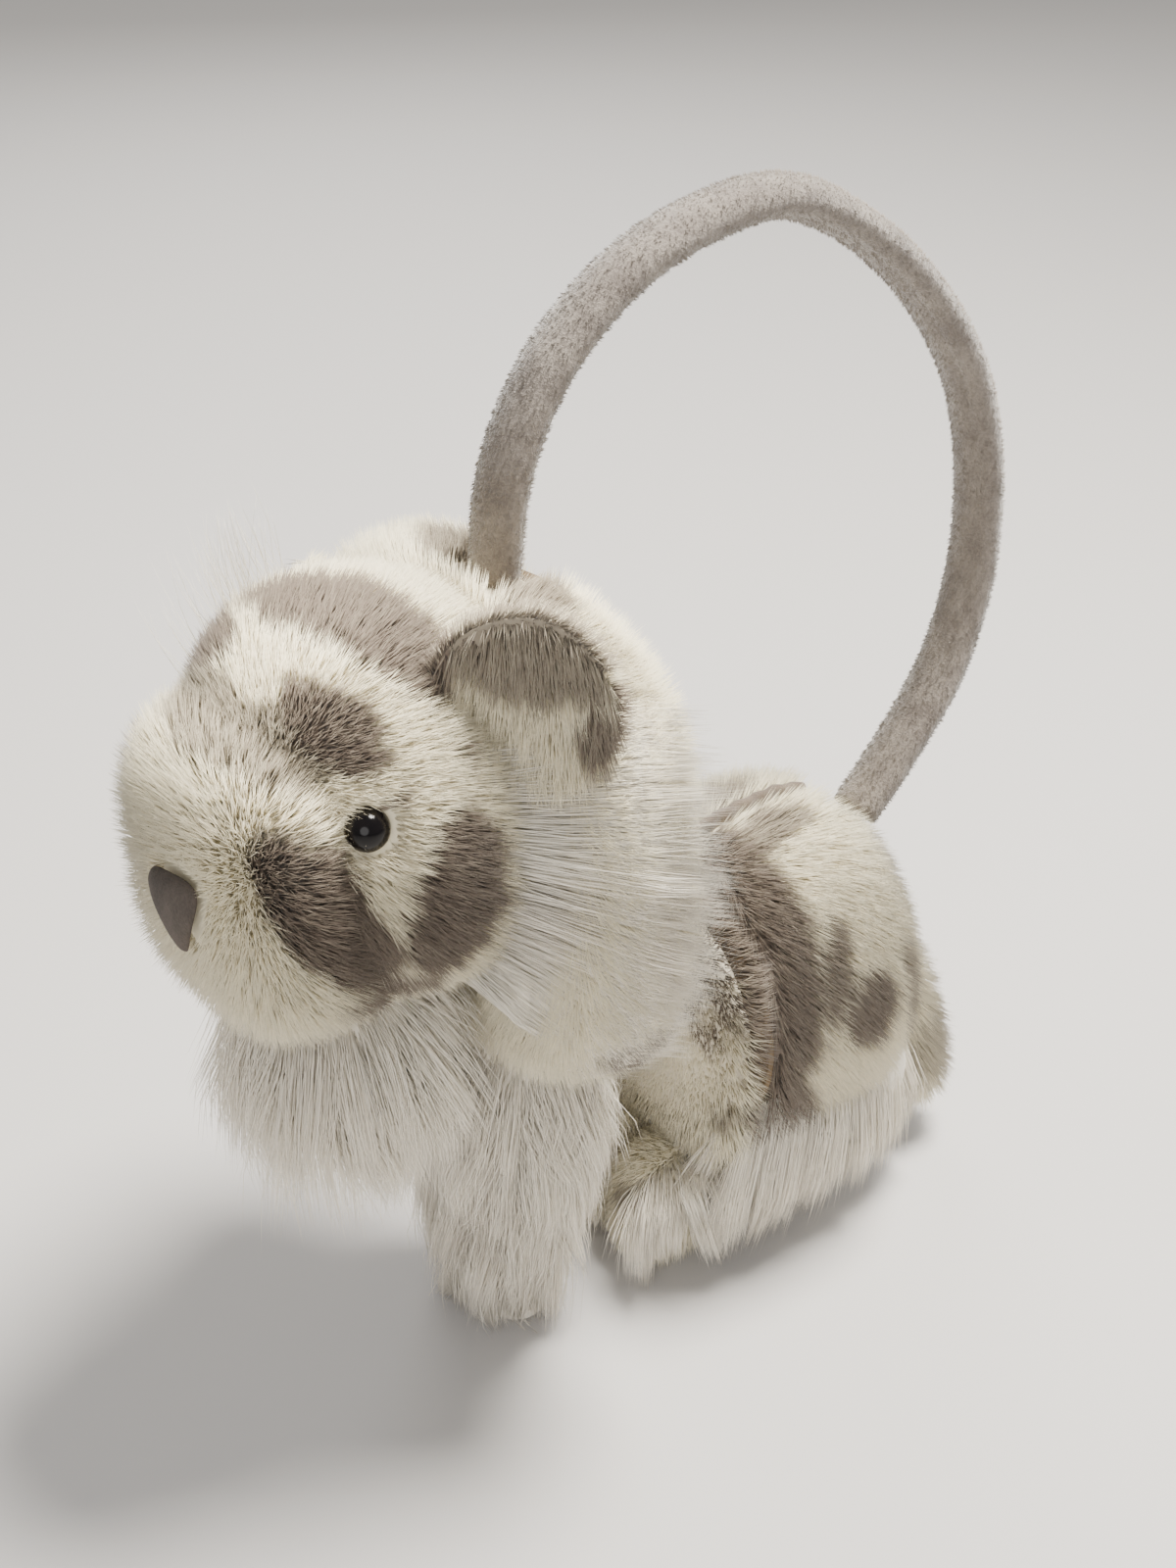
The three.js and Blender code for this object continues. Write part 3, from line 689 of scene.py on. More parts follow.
def off_head(points):
    """Pushes what lies inside the head out to just off its skin."""
    centre, radii = HEAD
    share = reach(points, centre, radii)
    close = share < JUST_OFF
    middle = np.array(centre)
    out = points.copy()
    out[close] = middle + (points[close] - middle) * (JUST_OFF / np.maximum(share[close], 1e-6))[:, None]
    return out


NOSE_LEAN = math.radians(-12)
NOSE_DEPTH = 1.8
NOSE_RISE = 0.6
NOSE_CORNERS = [(0.0, -10.5), (12.5, 7.4), (-12.5, 7.4)]
NOSE_BLUNT = 10.2  # the furthest that its rounded corners reach
NOSE_FORWARD = 3.0
NOSE_CURVE = 0.012  # how it wraps round the muzzle


def nose_outline(angles):
    """A rounded triangle with its point down: radius at each angle, in millimetres."""
    across_y, down = np.cos(angles), np.sin(angles)
    corners = np.array(NOSE_CORNERS)
    radius = np.full(len(angles), 1e9)
    for k in range(3):
        a, b = corners[k], corners[(k + 1) % 3]
        out = np.array([b[1] - a[1], a[0] - b[0]])
        out = out / np.linalg.norm(out)
        facing = across_y * out[0] + down * out[1]
        radius = np.where(facing > 0.01, np.minimum(radius, (a @ out) / np.maximum(facing, 0.01)), radius)
    return (radius**-6 + NOSE_BLUNT**-6) ** (-1 / 6)


def clear_of_face(roots):
    """Keeps roots off the eyes and the nose."""
    sides = vectors(roots[:, 0], np.abs(roots[:, 1]), roots[:, 2])
    near_eye = np.linalg.norm(sides - EYE_PLACE, axis=1) < EYE_RADIUS + 0.5
    y, z = (roots - NOSE_PLACE)[:, 1], (roots - NOSE_PLACE)[:, 2] - NOSE_RISE
    level_y = y * math.cos(NOSE_LEAN) + z * math.sin(NOSE_LEAN)
    level_z = z * math.cos(NOSE_LEAN) - y * math.sin(NOSE_LEAN)
    under_nose = np.hypot(y, z) < 0.92 * nose_outline(np.arctan2(level_z, level_y))
    return ~near_eye & ~(under_nose & (roots[:, 0] < NOSE_PLACE[0] + 6))


head = ball(*HEAD, rows=56, columns=80, shape=head_shape)
skin("head_skin", head, PLUSH, "head_muff", ["head_cover", "head_fill"])
muzzle = ball(*MUZZLE, rows=48, columns=72, shape=off_head)
skin("muzzle_skin", muzzle, PLUSH, "head_muff", ["muzzle"])

roots, normals = rooted(head, 4.2, 11, lambda places, _: (
    (places[:, 0] < MUFF_FRONT - 1.5) & (reach(places, *MUZZLE) > 1.0) & clear_of_face(places)))
flow = vectors(1.0, 0.012 * roots[:, 1], 0.01 * (roots[:, 2] - 165))
both_sides("head_pile", roots, normals, flow, 21, length=6.6, lift=0.5, **on_head)

roots, normals = rooted(muzzle, 4.2, 12, lambda places, _: (
    (reach(places, *HEAD) > 1.02) & clear_of_face(places)))
flow = (roots - NOSE_PLACE) * np.array([1.0, 1.0, 1.15]) + np.array([6.0, 0, 0])
by_nose = np.linalg.norm(roots - NOSE_PLACE, axis=1)
grow("muzzle_pile", roots, normals, flow, seed=31, length=np.interp(by_nose, [8, 20], [4.6, 8.0]),
     lift=0.62, **on_head)


# ---------- nose and eyes ----------
def nose_surface():
    """The felt nose: a domed front over a flat back, leaning as it is sewn."""
    columns = 72
    angles = np.linspace(0, 2 * math.pi, columns, endpoint=False)
    edge = nose_outline(angles)
    points = [np.array([[-NOSE_DEPTH, 0, 0]])]
    shares = np.array([0.15, 0.3, 0.45, 0.6, 0.72, 0.82, 0.9, 0.95, 0.985, 1.0])
    rings = [(s, -NOSE_DEPTH * (1 - s**5) ** 0.6) for s in shares] + [(0.97, 0.25), (0.6, 0.3)]
    for share, depth in rings:
        y, z = edge * share * np.cos(angles), edge * share * np.sin(angles)
        turned_y = y * math.cos(NOSE_LEAN) - z * math.sin(NOSE_LEAN)
        turned_z = y * math.sin(NOSE_LEAN) + z * math.cos(NOSE_LEAN)
        points.append(vectors(depth, turned_y, turned_z))
    points.append(np.array([[0.3, 0, 0]]))
    points = np.concatenate(points)
    points[:, 0] += NOSE_CURVE * (points[:, 1] ** 2 + points[:, 2] ** 2)
    return rings_surface(points + NOSE_PLACE + np.array([-NOSE_FORWARD, 0, NOSE_RISE]), columns)


nose = nose_surface()
nose_patch = mesh_object("nose_felt", nose.points, [nose.triangles], FELT)
stand_for(nose_patch, "head_muff", "nose_patch")


def aimed(points, place, direction):
    """Turns points made along +Z to lie along a direction from a place."""
    turn = Vector((0, 0, 1)).rotation_difference(Vector(direction)).to_matrix()
    return points @ np.array(turn).T + place


EYE_PROFILE = [(EYE_RADIUS * math.sin(a), EYE_RADIUS * math.cos(a)) for a in np.linspace(0, 2.75, 26)]
EYE_PROFILE += [(1.5, -5.2), (1.5, -9.4), (0.0, -9.6)]  # the stem behind the bead
for side, sign in SIGNS.items():
    place = EYE_PLACE * np.array([1, sign, 1])
    direction = unit((place - np.array(HEAD[0])) / np.array(HEAD[1]) ** 2)
    bead = lathe(EYE_PROFILE, 40)
    eye = mesh_object(f"eye_bead_{side}", aimed(bead.points, place, direction), [bead.triangles], EYE_GLOSS)
    stand_for(eye, "head_muff", f"eye_{side}")

# ---------- ears ----------
EAR_PLACES = {"left": np.array([-27, -36, 176]), "right": np.array([-27, 36, 162])}
EAR_RADIUS = 16.5
EAR_TURN = 42
EAR_LEAN = 14
EAR_HALF_THICK = 3.4
EAR_FRONT = 0.35  # how much flatter its front is
EAR_HOLLOW = 2.6
EAR_TAPER = 0.12
FLOPPED_BY = 2.5  # how much lower the right ear is for being folded down


def ear_surface(side, sign):
    """A cupped, round-tipped ear that faces forward and out: its surface, turn and middle."""

    def cup(points):
        height = points[:, 2] / EAR_RADIUS
        hollow = 1 - (points[:, 1] ** 2 + points[:, 2] ** 2) / EAR_RADIUS**2
        front = points[:, 0] < 0
        points[:, 0] = np.where(front, points[:, 0] * EAR_FRONT, points[:, 0])
        points[:, 0] += EAR_HOLLOW * np.clip(hollow, 0, 1) - 1.0
        points[:, 1] *= 1.0 - EAR_TAPER * np.clip(height, 0, 1) ** 2
        return points

    height = EAR_RADIUS if side == "left" else EAR_RADIUS - FLOPPED_BY
    flat = ball((0, 0, 0), (EAR_HALF_THICK, EAR_RADIUS, height), rows=32, columns=56, shape=cup)
    lean = np.array(Matrix.Rotation(math.radians(-sign * EAR_LEAN), 3, "X"))
    turn = np.array(Matrix.Rotation(math.radians(-sign * EAR_TURN), 3, "Z"))
    place = EAR_PLACES[side]
    return Surface(flat.points @ (turn @ lean).T + place, flat.triangles), turn @ lean, place


for side, sign in SIGNS.items():
    ear, turned, place = ear_surface(side, sign)
    skin(f"ear_skin_{side}", ear, PLUSH, "head_muff", [f"ear_{side}"])
    roots, normals = rooted(ear, 4.0, 50 + sign, lambda places, _: (
        (reach(places, *HEAD) > 1.0) & (reach(places, *MUFF, 3.2) > 1.0)))
    inside = (normals @ turned)[:, 0] < -0.25
    outward = (roots - place) @ turned
    radial = (outward * np.array([0, 1, 1])) @ turned.T / EAR_RADIUS
    back_flow = radial + np.array([0.4, 0.3 * sign, 0.3 if side == "left" else -1.0])
    front_flow = 0.35 * radial + np.array([-0.1, 0.25 * sign, -1.0])
    grow(f"ear_back_pile_{side}", roots[~inside], normals[~inside], back_flow[~inside], PLUSH, "head_muff",
         "plush_taupe", 60 + sign, length=6.0, lift=0.4, solids=[HEAD + (2.0,)])
    grow(f"ear_front_pile_{side}", roots[inside], normals[inside], front_flow[inside], seed=70 + sign,
         length=8.0, lift=0.45, vary=0.5, clump=0.45, solids=[HEAD + (2.0,)], **on_head)

# ---------- the head muff ----------
EDGE_START = 38
CUSHION_EDGE = 33
BAND_IN_MUFF = -6.8
EDGE_FULLNESS = 1.45


def muff_ring(points):
    """A thick disc with a full round edge and a flat back."""
    centre, radii = MUFF
    away = points - np.array(centre)
    away[:, 0] = np.clip(away[:, 0] * EDGE_FULLNESS, -radii[0], radii[0] - 0.4)
    return away + np.array(centre)


muff = ball(*MUFF, power=3.0, rows=44, columns=96, shape=muff_ring)
skin("head_muff_skin", muff, PLUSH, "head_muff", ["head_muff_cover", "head_muff_fill"])


def on_muff(places, _):
    """Off the cushion and the head, and clear of the headband."""
    around = np.hypot(places[:, 1], places[:, 2] - MUFF[0][2])
    at_band = (np.abs(places[:, 1]) < 8.6) & (np.abs(places[:, 0] - BAND_IN_MUFF) < 8.4)
    at_band &= places[:, 2] > MUFF[0][2]
    open_skin = (around > CUSHION_EDGE) & ((places[:, 0] < -3) | (around > EDGE_START))
    return open_skin & (reach(places, *HEAD) > 1.0) & ~at_band


roots, normals = rooted(muff, 3.6, 13, on_muff)
flow = (roots - np.array(MUFF[0])) * np.array([0, 1, 1]) * 0.03 + np.array([0.25, 0, -0.15])
both_sides("head_muff_pile", roots, normals, flow, 41, length=8.2, lift=0.6, vary=0.4, clump=0.4, **on_head)

# ---------- long fur: cheeks, beard and chest ----------
FACE_SOLIDS = [HEAD + (2.0,), MUZZLE]
MUFF_COAT = (MUFF[0], (15.0, 53.0, 53.0), 3.0)  # the muff with its pile on
SEAM_PLACE = -31
RIM_PLACE = -1.0
RIM_RADIUS = 51
RUFF_RADII = np.array([5, 6, 22])
RUFF_TURNS = ([85, 105, 125, 165], [2, 10, 24, 10])  # degrees that the hair sweeps down by, at each height
CHEST_RADII = (15.5, 23.5)

for side, sign in SIGNS.items():
    centre = np.array([-24, sign * 30, 123])
    ruff = ball(centre, RUFF_RADII, rows=26, columns=36, shape=off_head)
    skin(f"ruff_skin_{side}", ruff, LONG_WHITE, "head_muff", [f"cheek_ruff_{side}"])
    rng = np.random.default_rng(80 + sign)
    roots, normals = ruff.scatter(4.0, rng)
    keep = (reach(roots, *HEAD) > 1.0) & (reach(roots, *MUFF, 3.0) > 1.0) & (sign * normals[:, 1] > -0.3)
    keep &= normals[:, 0] < 0.55
    seam_roots, seam_normals = head.scatter(5.0, rng)
    on_seam = (np.abs(seam_roots[:, 0] - SEAM_PLACE) < 6) & (sign * seam_roots[:, 1] > 20)
    on_seam &= seam_roots[:, 2] < 168
    roots = np.concatenate([roots[keep], seam_roots[on_seam]])
    normals = np.concatenate([normals[keep], seam_normals[on_seam]])
    turn = np.arctan2(roots[:, 2] - MUFF[0][2], sign * roots[:, 1])
    turn -= np.radians(np.interp(roots[:, 2], *RUFF_TURNS))
    rim = vectors(RIM_PLACE, sign * RIM_RADIUS * np.cos(turn), MUFF[0][2] + RIM_RADIUS * np.sin(turn))
    flow = rim - roots
    hang(f"cheek_ruff_fur_{side}", roots, normals, flow, "head_muff", 90 + sign,
         np.linalg.norm(flow, axis=1) * 1.2, width=0.24, lift=0.2, bend=0.85, clump=0.5, clump_size=5.0,
         spread=0.08, along_skin=False, solids=FACE_SOLIDS + [MUFF_COAT, (centre, RUFF_RADII + 0.8, 2.0)])

beard = ball((-49, 0, 99), (16, 20, 26), rows=30, columns=40, shape=off_head)
skin("beard_skin", beard, LONG_WHITE, "head_muff", ["chin_beard"])
on_beard = rooted(beard, 1.8, 14, lambda places, _: (
    (reach(places, *HEAD) > 1.0) & (reach(places, *MUZZLE) > 1.0) & (places[:, 2] < 122)))
on_chin = rooted(head, 2.2, 24, lambda places, _: (
    (places[:, 2] < 117) & (places[:, 0] > -64) & (places[:, 0] < -24)))
roots, normals = (np.concatenate(both) for both in zip(on_beard, on_chin))
flow = vectors(0.22, 0.004 * roots[:, 1], -1.0)
hang("beard_fur", roots, normals, flow, "head_muff", 101, np.clip(roots[:, 2] - 56, 16, 36), lift=0.16,
     droop=0.4, clump_size=7.0, spread=0.12, vary=0.65, wave=1.8, solids=FACE_SOLIDS)

# stray hairs over the brow on the far side
rng = np.random.default_rng(19)
count = 110
roots = vectors(-50 + 14 * rng.random(count), 22 + 13 * rng.random(count), 150 + 30 * rng.random(count))
share = reach(roots, *HEAD)[:, None]
roots = np.array(HEAD[0]) + (roots - np.array(HEAD[0])) / share
normals = unit((roots - np.array(HEAD[0])) / np.array(HEAD[1]) ** 2)
flow = np.tile([-0.2, 0.3, 0.9], (count, 1))
hang("stray_hairs", roots, normals, flow, "head_muff", 121, 26, width=0.16, lift=0.7, bend=0.5,
     clump=0.5, clump_size=9.0, spread=0.2, segments=5, vary=0.7, wave=0.0)

CHEST_PROFILE = [(0, 0.4), (0.3, 0.4), (0.4, 6), (0.6, 20), (0.84, 42), (1, 66), (0.92, 88), (0, 90)]
CHEST_PLACE = -9
chest = lathe(smooth_profile(CHEST_PROFILE), 44)
chest.points = chest.points * np.array([*CHEST_RADII, 1]) + np.array([CHEST_PLACE, 0, 0])
skin("chest_skin", chest, LONG_WHITE, "head_muff", ["chest"])
roots, normals = rooted(chest, 1.5, 15, lambda places, _: (
    (places[:, 2] > 9) & (places[:, 2] < 86) & (reach(places, *MUFF, 3.0) > 1.0)))
flow = vectors(-0.012 * (roots[:, 0] - CHEST_PLACE), -0.012 * roots[:, 1], -1.0)
hang("chest_fur", roots, normals, flow, "head_muff", 111, np.clip(roots[:, 2] + 3, 10, 30), lift=0.2,
     bend=0.7, droop=0.4, clump=0.62, clump_size=9.0, spread=0.13, vary=0.7, wave=2.2)

# ---------- the rump ----------
RUMP_Z = 62
RUMP_FRONT = 42.1
RUMP_LENGTH = 50
BAND_IN_RUMP = 86.5
RUMP_RADII = (35.5, 41.5)
RUMP_PROFILE = [(0, 0.004), (0.93, 0.004), (0.98, 0.14), (1, 0.34), (1, 0.56), (0.95, 0.73), (0.84, 0.86),
                (0.64, 0.95), (0.36, 0.99), (0, 1)]
RUMP_SOLID = ((67, 0, 62), (25, 35, 41), 3.0)


def along_x(surface):
    """Lays a form turned about Z over, so that it is turned about X."""
    return Surface(surface.points[:, [2, 1, 0]] * np.array([1, -1, 1]), surface.triangles)


rump = along_x(lathe(smooth_profile(RUMP_PROFILE), 72))
rump.points = rump.points * np.array([RUMP_LENGTH, *RUMP_RADII]) + np.array([RUMP_FRONT, 0, RUMP_Z])
skin("rump_skin", rump, PLUSH, "rear_muff", ["rump_cover", "rump_fill"])


def on_rump_skin(places, _):
    """Off the cushion, and clear of the spine's tape and of the headband."""
    open_skin = (places[:, 0] > RUMP_FRONT + 0.3) | (np.hypot(places[:, 1], places[:, 2] - 63) > CUSHION_EDGE)
    at_tape = (np.abs(places[:, 1]) < 1.7) & (places[:, 2] > RUMP_Z) & (places[:, 0] < 90)
    at_band = (np.abs(places[:, 1]) < 8.0) & (np.abs(places[:, 0] - BAND_IN_RUMP) < 8.5) & (places[:, 2] > 75)
    return open_skin & ~at_tape & ~at_band


roots, normals = rooted(rump, 3.6, 16, on_rump_skin)
flow = vectors(0.5, 0.01 * roots[:, 1], -0.9)
both_sides("rump_pile", roots, normals, flow, 121, length=8.0, lift=0.48, clump=0.36, clump_size=3.6,
           **on_rump)

# ---------- feet, fringes and tail ----------
FOOT = (40, 9, 14.8)
FOOT_RADII = (19.6, 7.2, 14.4)
FRINGE = (65, 28, 30)
FRINGE_RADII = (23, 3.0, 22)
RUMP_NARROWING = ([40, 60, 80, 88], [0.95, 1.0, 0.9, 0.75])  # the rump's share of its width at each X
for side, sign in SIGNS.items():
    foot = ball((FOOT[0], sign * FOOT[1], FOOT[2]), FOOT_RADII, power=4.0, rows=30, columns=48)
    skin(f"foot_skin_{side}", foot, PLUSH, "rear_muff", [f"hind_foot_{side}"])
    roots, normals = rooted(foot, 3.2, 130 + sign, lambda places, facing: (
        (facing[:, 2] > -0.6) & (reach(places, *RUMP_SOLID) > 1.0)))
    flow = np.tile([-0.5, 0.0, -0.8], (len(roots), 1))
    grow(f"foot_pile_{side}", roots, normals, flow, seed=140 + sign, length=5.6, lift=0.5, **on_rump)

    # the fringe over the foot
    roots, normals = rooted(foot, 5.0, 145 + sign, lambda places, facing: (
        (sign * facing[:, 1] > 0.1) & (places[:, 2] > 15) & (reach(places, *RUMP_SOLID) > 1.0)))
    flow = np.tile([-0.05, 0.12 * sign, -1.0], (len(roots), 1))
    hang(f"foot_fringe_fur_{side}", roots, normals, flow, "rear_muff", 147 + sign,
         np.clip(roots[:, 2] - 4, 10, 24), lift=0.25, droop=0.3, clump_size=6.0, spread=0.1, wave=1.4)

    # the fringe along the flank, rooted on the rump's curve
    rng = np.random.default_rng(150 + sign)
    count = 7000
    height = 24 + 28 * rng.random(count) ** 0.7
    place = 37 + 51 * rng.random(count)
    below = np.clip((RUMP_Z - height) / RUMP_RADII[1], 0, 0.9)
    narrowing = np.interp(place, *RUMP_NARROWING)
    bulge = np.sqrt(1 - below**2) * RUMP_RADII[0] * narrowing
    roots = vectors(place, sign * (bulge + 0.4), height)
    normals = unit(vectors(0.02 * (place - 66), sign, -0.8 * below))
    flow = vectors(0.008 * (place - 60), -0.35 * sign, -1.0)
    hang(f"belly_fringe_fur_{side}", roots, normals, flow, "rear_muff", 160 + sign,
         np.clip(height - 6, 14, 40), lift=0.22, droop=0.35, clump_size=6.0, spread=0.08, vary=0.45)
    fringe = ball((FRINGE[0], sign * FRINGE[1], FRINGE[2]), FRINGE_RADII, power=3.0, rows=24, columns=40)
    fringe.points[:, 1] += sign * 0.2 * (fringe.points[:, 2] - FRINGE[2])
    skin(f"fringe_skin_{side}", fringe, LONG_WHITE, "rear_muff", [f"belly_fringe_{side}"])

# the fringe under the rump's front, round the cushion
FRONT_RADIUS = 32
for side, sign in SIGNS.items():
    rng = np.random.default_rng(210 + sign)
    count = 1500
    turn = np.radians(-4 + 66 * rng.random(count))
    roots = vectors(33 + 8 * rng.random(count), sign * FRONT_RADIUS * np.sin(turn),
                    63 - FRONT_RADIUS * np.cos(turn))
    normals = unit(vectors(-0.5, sign * np.sin(turn), -np.cos(turn)))
    flow = np.tile([-0.3, -0.1 * sign, -1.0], (count, 1))
    hang(f"front_fringe_fur_{side}", roots, normals, flow, "rear_muff", 220 + sign,
         np.clip(roots[:, 2] - 7, 12, 36), lift=0.25, droop=0.3, clump_size=5.0, spread=0.1)

TAIL_TOP = np.array([99, -6, 53])
TAIL_END = np.array([108, -12, 21])
tail = ball((0, 0, 0), (24, 8, 8), power=2.6, rows=32, columns=36)
tail.points = aimed(tail.points[:, [1, 2, 0]], (TAIL_TOP + TAIL_END) / 2, unit(TAIL_END - TAIL_TOP))
skin("tail_skin", tail, PLUSH, "rear_muff", ["tail"])
roots, normals = rooted(tail, 3.4, 17, lambda places, _: reach(places, *RUMP_SOLID) > 1.02)
flow = np.tile(unit(TAIL_END - TAIL_TOP), (len(roots), 1))
grow("tail_pile", roots, normals, flow, seed=171, length=9.5, lift=0.5, vary=0.4, clump=0.5, **on_rump)

# ---------- ear cushions ----------


def cushion(name, centre, radius, thickness, facing, body, node):
    """A crowned disc, swelled by cloth pressure where the run allows it."""
    profile = [(0, 0), (0.9, 0), (0.97, 0.06), (1, 0.3), (0.98, 0.6), (0.9, 0.84), (0.7, 0.95), (0, 1)]
    form = along_x(lathe(smooth_profile(profile), 64))
    stretch = np.array([facing * thickness, radius, radius])
    points = form.points * stretch + np.array(centre)
    triangles = form.triangles if facing > 0 else form.triangles[:, ::-1]
    made = mesh_object(name, points, [triangles], FLEECE)
    swell(made, centre, stretch)
    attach(made, body)
    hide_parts(node)
    return made


VOXEL = 0.0032
PRESSURE = 4
CLOTH_FRAMES = 20
MOST_SWELL = 0.0015


def swell(made, centre, stretch):
    """Inflates a cushion as cloth, and keeps it inside its own thickness and off its board."""
    bpy.context.view_layer.objects.active = made
    remesh = made.modifiers.new("even mesh", "REMESH")
    remesh.mode = "VOXEL"
    remesh.voxel_size = VOXEL
    bpy.ops.object.modifier_apply(modifier=remesh.name)
    rest = np.array([v.co for v in made.data.vertices])
    cloth = made.modifiers.new("stuffing", "CLOTH")
    cloth.settings.quality = 4
    cloth.settings.mass = 0.2
    cloth.settings.use_pressure = True
    cloth.settings.uniform_pressure_force = PRESSURE
    cloth.settings.effector_weights.gravity = 0
    for number in range(1, CLOTH_FRAMES + 1):
        bpy.context.scene.frame_set(number)
    bpy.ops.object.modifier_apply(modifier=cloth.name)
    bpy.context.scene.frame_set(1)
    swelled = np.array([v.co for v in made.data.vertices])
    away = swelled - rest
    far = np.linalg.norm(away, axis=1, keepdims=True)
    swelled = rest + away * np.minimum(1, MOST_SWELL / np.maximum(far, 1e-9))
    limits = np.sort(metres(np.array([centre, np.array(centre) + np.array([stretch[0], 0, 0])]))[:, 0])
    swelled[:, 0] = np.clip(swelled[:, 0], *limits)
    made.data.vertices.foreach_set("co", swelled.astype(np.float32).ravel())
    smoother = made.modifiers.new("smooth", "SUBSURF")
    smoother.levels = 1
    smoother.render_levels = 1
    bpy.ops.object.modifier_apply(modifier=smoother.name)
    made.data.polygons.foreach_set("use_smooth", np.ones(len(made.data.polygons), bool))
    made.data.update()


HEAD_SEAT = (4.1, 0, 132)  # the middle of each cushion's flat side
RUMP_SEAT = (40.0, 0, 63)
cushion("head_cushion", HEAD_SEAT, 38, 6, 1, "head_muff", "head_ear_cushion")
cushion("rump_cushion", RUMP_SEAT, 31, 8, -1, "rear_muff", "rump_ear_cushion")


def cushion_pile(name, centre, radius, thickness, facing, seed, **options):
    """Short pile on a cushion's face, longer round its rim, where it hides the board behind."""
    form = ball(np.array(centre) + np.array([facing * thickness / 2, 0, 0]), (thickness / 2, radius, radius),
                power=4.0, rows=24, columns=72)
    roots, normals = rooted(form, 2.6, seed, lambda _, faced: facing * faced[:, 0] > -0.3)
    around = np.hypot(roots[:, 1] - centre[1], roots[:, 2] - centre[2])
    flow = (roots - np.array(centre)) * np.array([0, 1, 1]) + np.array([-facing * 10.0, 0, -8.0])
    length = np.interp(around, [radius * 0.8, radius], [3.0, 6.5])
    grow(name, roots, normals, flow, seed=seed + 1, length=length, lift=0.45, **options)


cushion_pile("head_cushion_pile", HEAD_SEAT, 38, 6, 1, 191, **on_head)
cushion_pile("rump_cushion_pile", RUMP_SEAT, 32, 8, -1, 201, **on_rump)

# ---------- the headband ----------
BAND_CURVE = [(-8.6, 152), (-7.8, 170), (-6.6, 185.6), (-3.4, 203), (6.7, 220.6), (24.5, 234.5), (44, 241),
              (64.8, 241.8), (87, 231), (107, 213.6), (121.5, 193), (128.6, 170.5), (129.2, 144), (122, 121),
              (109, 104), (98, 93), (86, 82.5), (79, 76.5)]
SLEEVE_START = 21
SLEEVE = (14, 10)


def band_line():
    """The headband's centreline, closely and evenly spaced: points in the XZ plane."""
    marks = np.array(BAND_CURVE, float)
    marks = np.concatenate([2 * marks[:1] - marks[1:2], marks, 2 * marks[-1:] - marks[-2:-1]])
    pieces = []
    for k in range(1, len(marks) - 2):
        p = marks[k - 1:k + 3]
        d0, d1, d2 = (np.linalg.norm(p[i + 1] - p[i]) ** 0.5 for i in range(3))
        leave = ((p[1] - p[0]) / d0 - (p[2] - p[0]) / (d0 + d1) + (p[2] - p[1]) / d1) * d1
        enter = ((p[2] - p[1]) / d1 - (p[3] - p[1]) / (d1 + d2) + (p[3] - p[2]) / d2) * d1
        t = np.linspace(0, 1, 40, endpoint=False)[:, None]
        curve = p[1] + leave * t + (3 * (p[2] - p[1]) - 2 * leave - enter) * t**2
        pieces.append(curve + (2 * (p[1] - p[2]) + leave + enter) * t**3)
    line = np.concatenate(pieces + [marks[-2:-1]])
    steps = np.concatenate([[0], np.cumsum(np.linalg.norm(np.diff(line, axis=0), axis=1))])
    even = np.arange(SLEEVE_START, steps[-1] - SLEEVE_START, 2.0)
    return np.stack([np.interp(even, steps, line[:, k]) for k in range(2)], axis=1)


def band_surface():
    """The velour sleeve: an oval tube with a sewn seam along its inner side."""
    line = band_line()
    along = unit(np.gradient(line, axis=0))
    columns = 40
    angles = np.linspace(0, 2 * math.pi, columns, endpoint=False)
    seam = 0.5 * np.exp(-(((angles - 1.5 * math.pi + 0.5) / 0.16) ** 2))
    flat = 1 + 0.03 * np.sin(np.arange(len(line)) * 0.11) + 0.02 * np.sin(np.arange(len(line)) * 0.47 + 1)
    y = np.outer(flat, (SLEEVE[0] / 2 - 0.7) * np.cos(angles))
    out = np.outer(2 - flat, (SLEEVE[1] / 2 - 0.6) * np.sin(angles) + seam)
    outward = np.stack([-along[:, 1], along[:, 0]], axis=1)
    x = line[:, :1] + out * outward[:, :1]
    z = line[:, 1:] + out * outward[:, 1:]
    ends = [np.array([[line[k, 0], 0, line[k, 1]]]) for k in (0, -1)]
    rings = np.stack([x, y, z], axis=2).reshape(-1, 3)
    return rings_surface(np.concatenate([ends[0], rings, ends[1]]), columns)


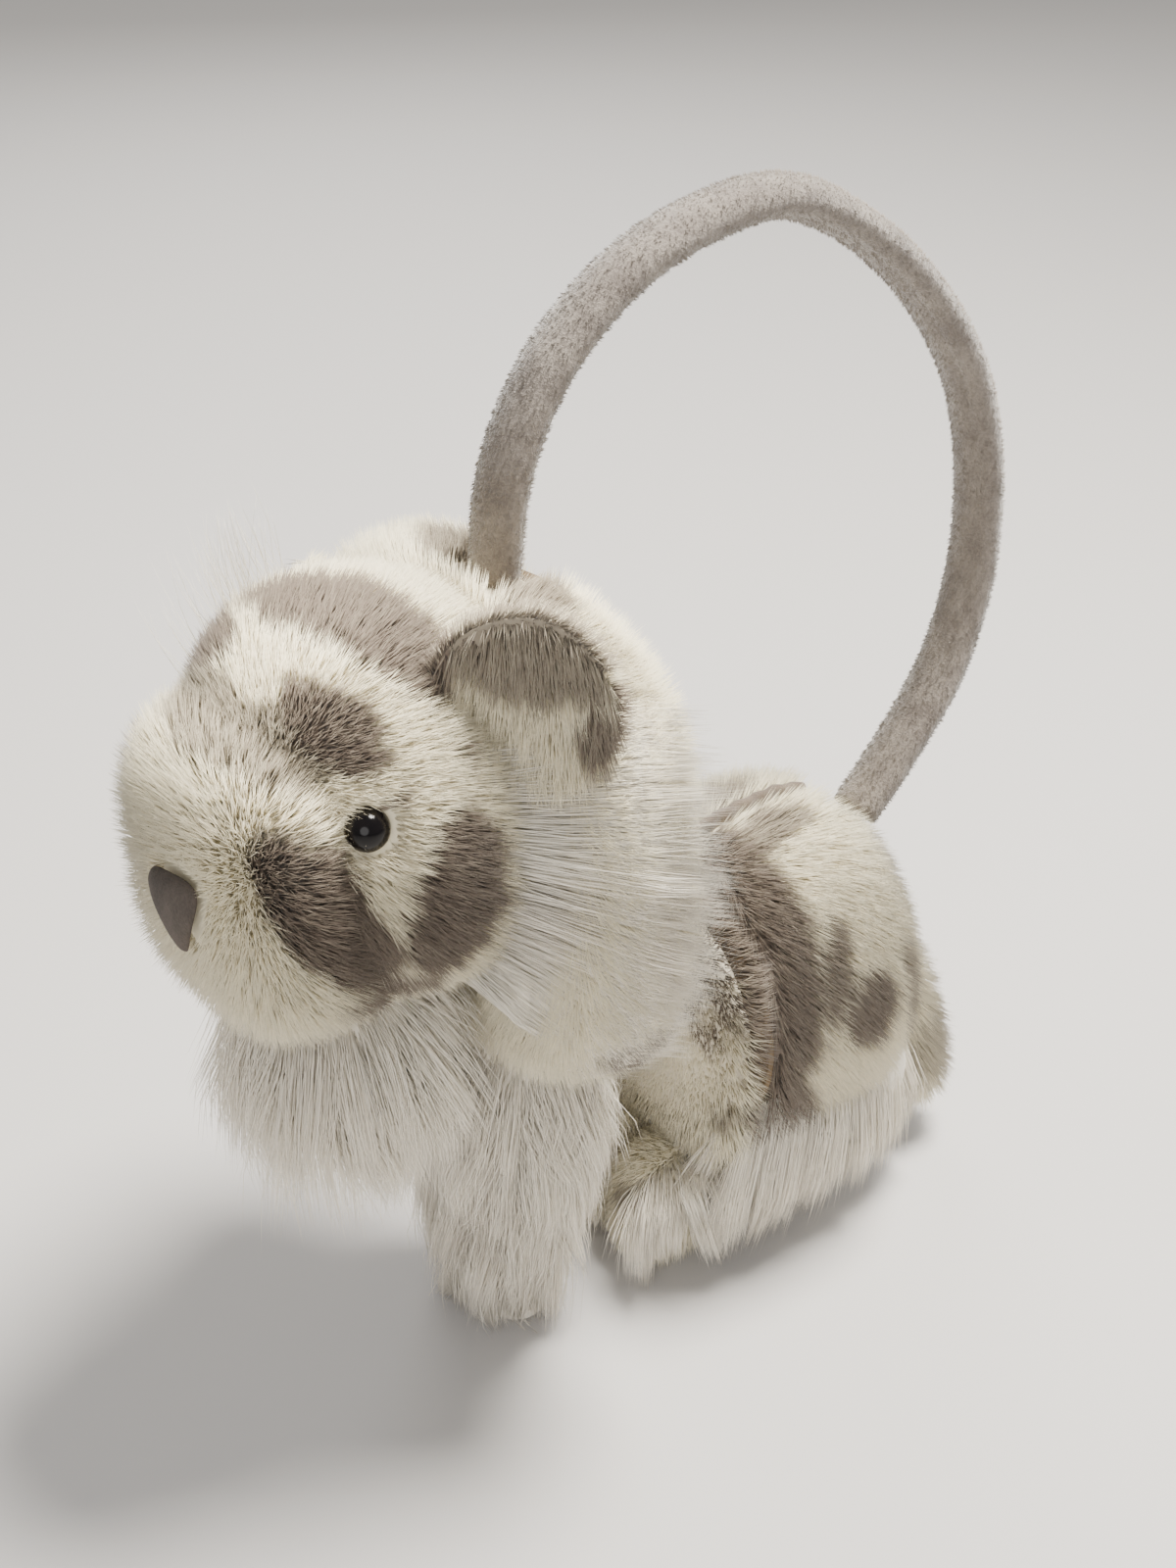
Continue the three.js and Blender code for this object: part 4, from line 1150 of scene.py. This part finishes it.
band = band_surface()
sleeve = mesh_object("velour_sleeve", band.points, [band.triangles], VELOUR_CLOTH)
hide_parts("band_sleeve_head", "band_sleeve_rear", "band_padding_head", "band_padding_rear")
roots, normals = band.scatter(2.6, np.random.default_rng(18))
turning = vectors(-normals[:, 2], 0.0, normals[:, 0])
flow = turning + np.array([0.2, 0, -0.4])
pile = grow("velour_nap", roots, normals, flow, VELOUR_PILE, None, "velour", 181, length=1.1, bend=0.3,
            clump=0.4, clump_size=1.8, spread=0.25)
for made in (sleeve, pile):
    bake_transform(made)

# ---------- the taped seam on the rump ----------
TAPE_RISE = 1.9  # of the tape's middle over the rump
TAPE_HALF = (1.1, 1.8)
spine = np.array([(RUMP_FRONT + x * RUMP_LENGTH, RUMP_Z + r * RUMP_RADII[1]) for r, x in RUMP_PROFILE[1:6]])
steps = np.linspace(0, 1, 40)
line_x = np.interp(steps, np.linspace(0, 1, len(spine)), spine[:, 0])
line_z = np.interp(line_x, spine[:, 0], spine[:, 1])
tape_columns = 16
angles = np.linspace(0, 2 * math.pi, tape_columns, endpoint=False)
ripple = 0.25 * np.sin(line_x * 1.1)[:, None]
tape_y = TAPE_HALF[0] * np.cos(angles)[None, :] + ripple
boxy = np.sign(np.sin(angles)) * np.abs(np.sin(angles)) ** 0.6
tape_z = line_z[:, None] + TAPE_RISE + TAPE_HALF[1] * boxy + 0.3 * ripple
tape_x = np.repeat(line_x[:, None], tape_columns, axis=1)
rings = np.stack([tape_x, tape_y, tape_z], axis=2).reshape(-1, 3)
caps = [np.array([[line_x[k], 0, line_z[k] + TAPE_RISE]]) for k in (0, -1)]
tape = rings_surface(np.concatenate([caps[0], rings, caps[1]]), tape_columns)
seam = mesh_object("spine_tape", tape.points, [tape.triangles], TAPE)
stand_for(seam, "rear_muff", "rump_seam_tape")

# ---------- finishes of the parts that keep their shapes ----------
FINISHES = {
    "spring_strip": STEEL, "end_cap": CAP_PLASTIC, "eye_washer": WASHER_PLASTIC,
    "head_board": BOARD, "rump_board": BOARD, "head_band_pocket": WEBBING, "rump_band_pocket": WEBBING,
}
for name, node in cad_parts.items():
    for start, finish in FINISHES.items():
        if name.startswith(start):
            node.data.materials.clear()
            node.data.materials.append(finish)
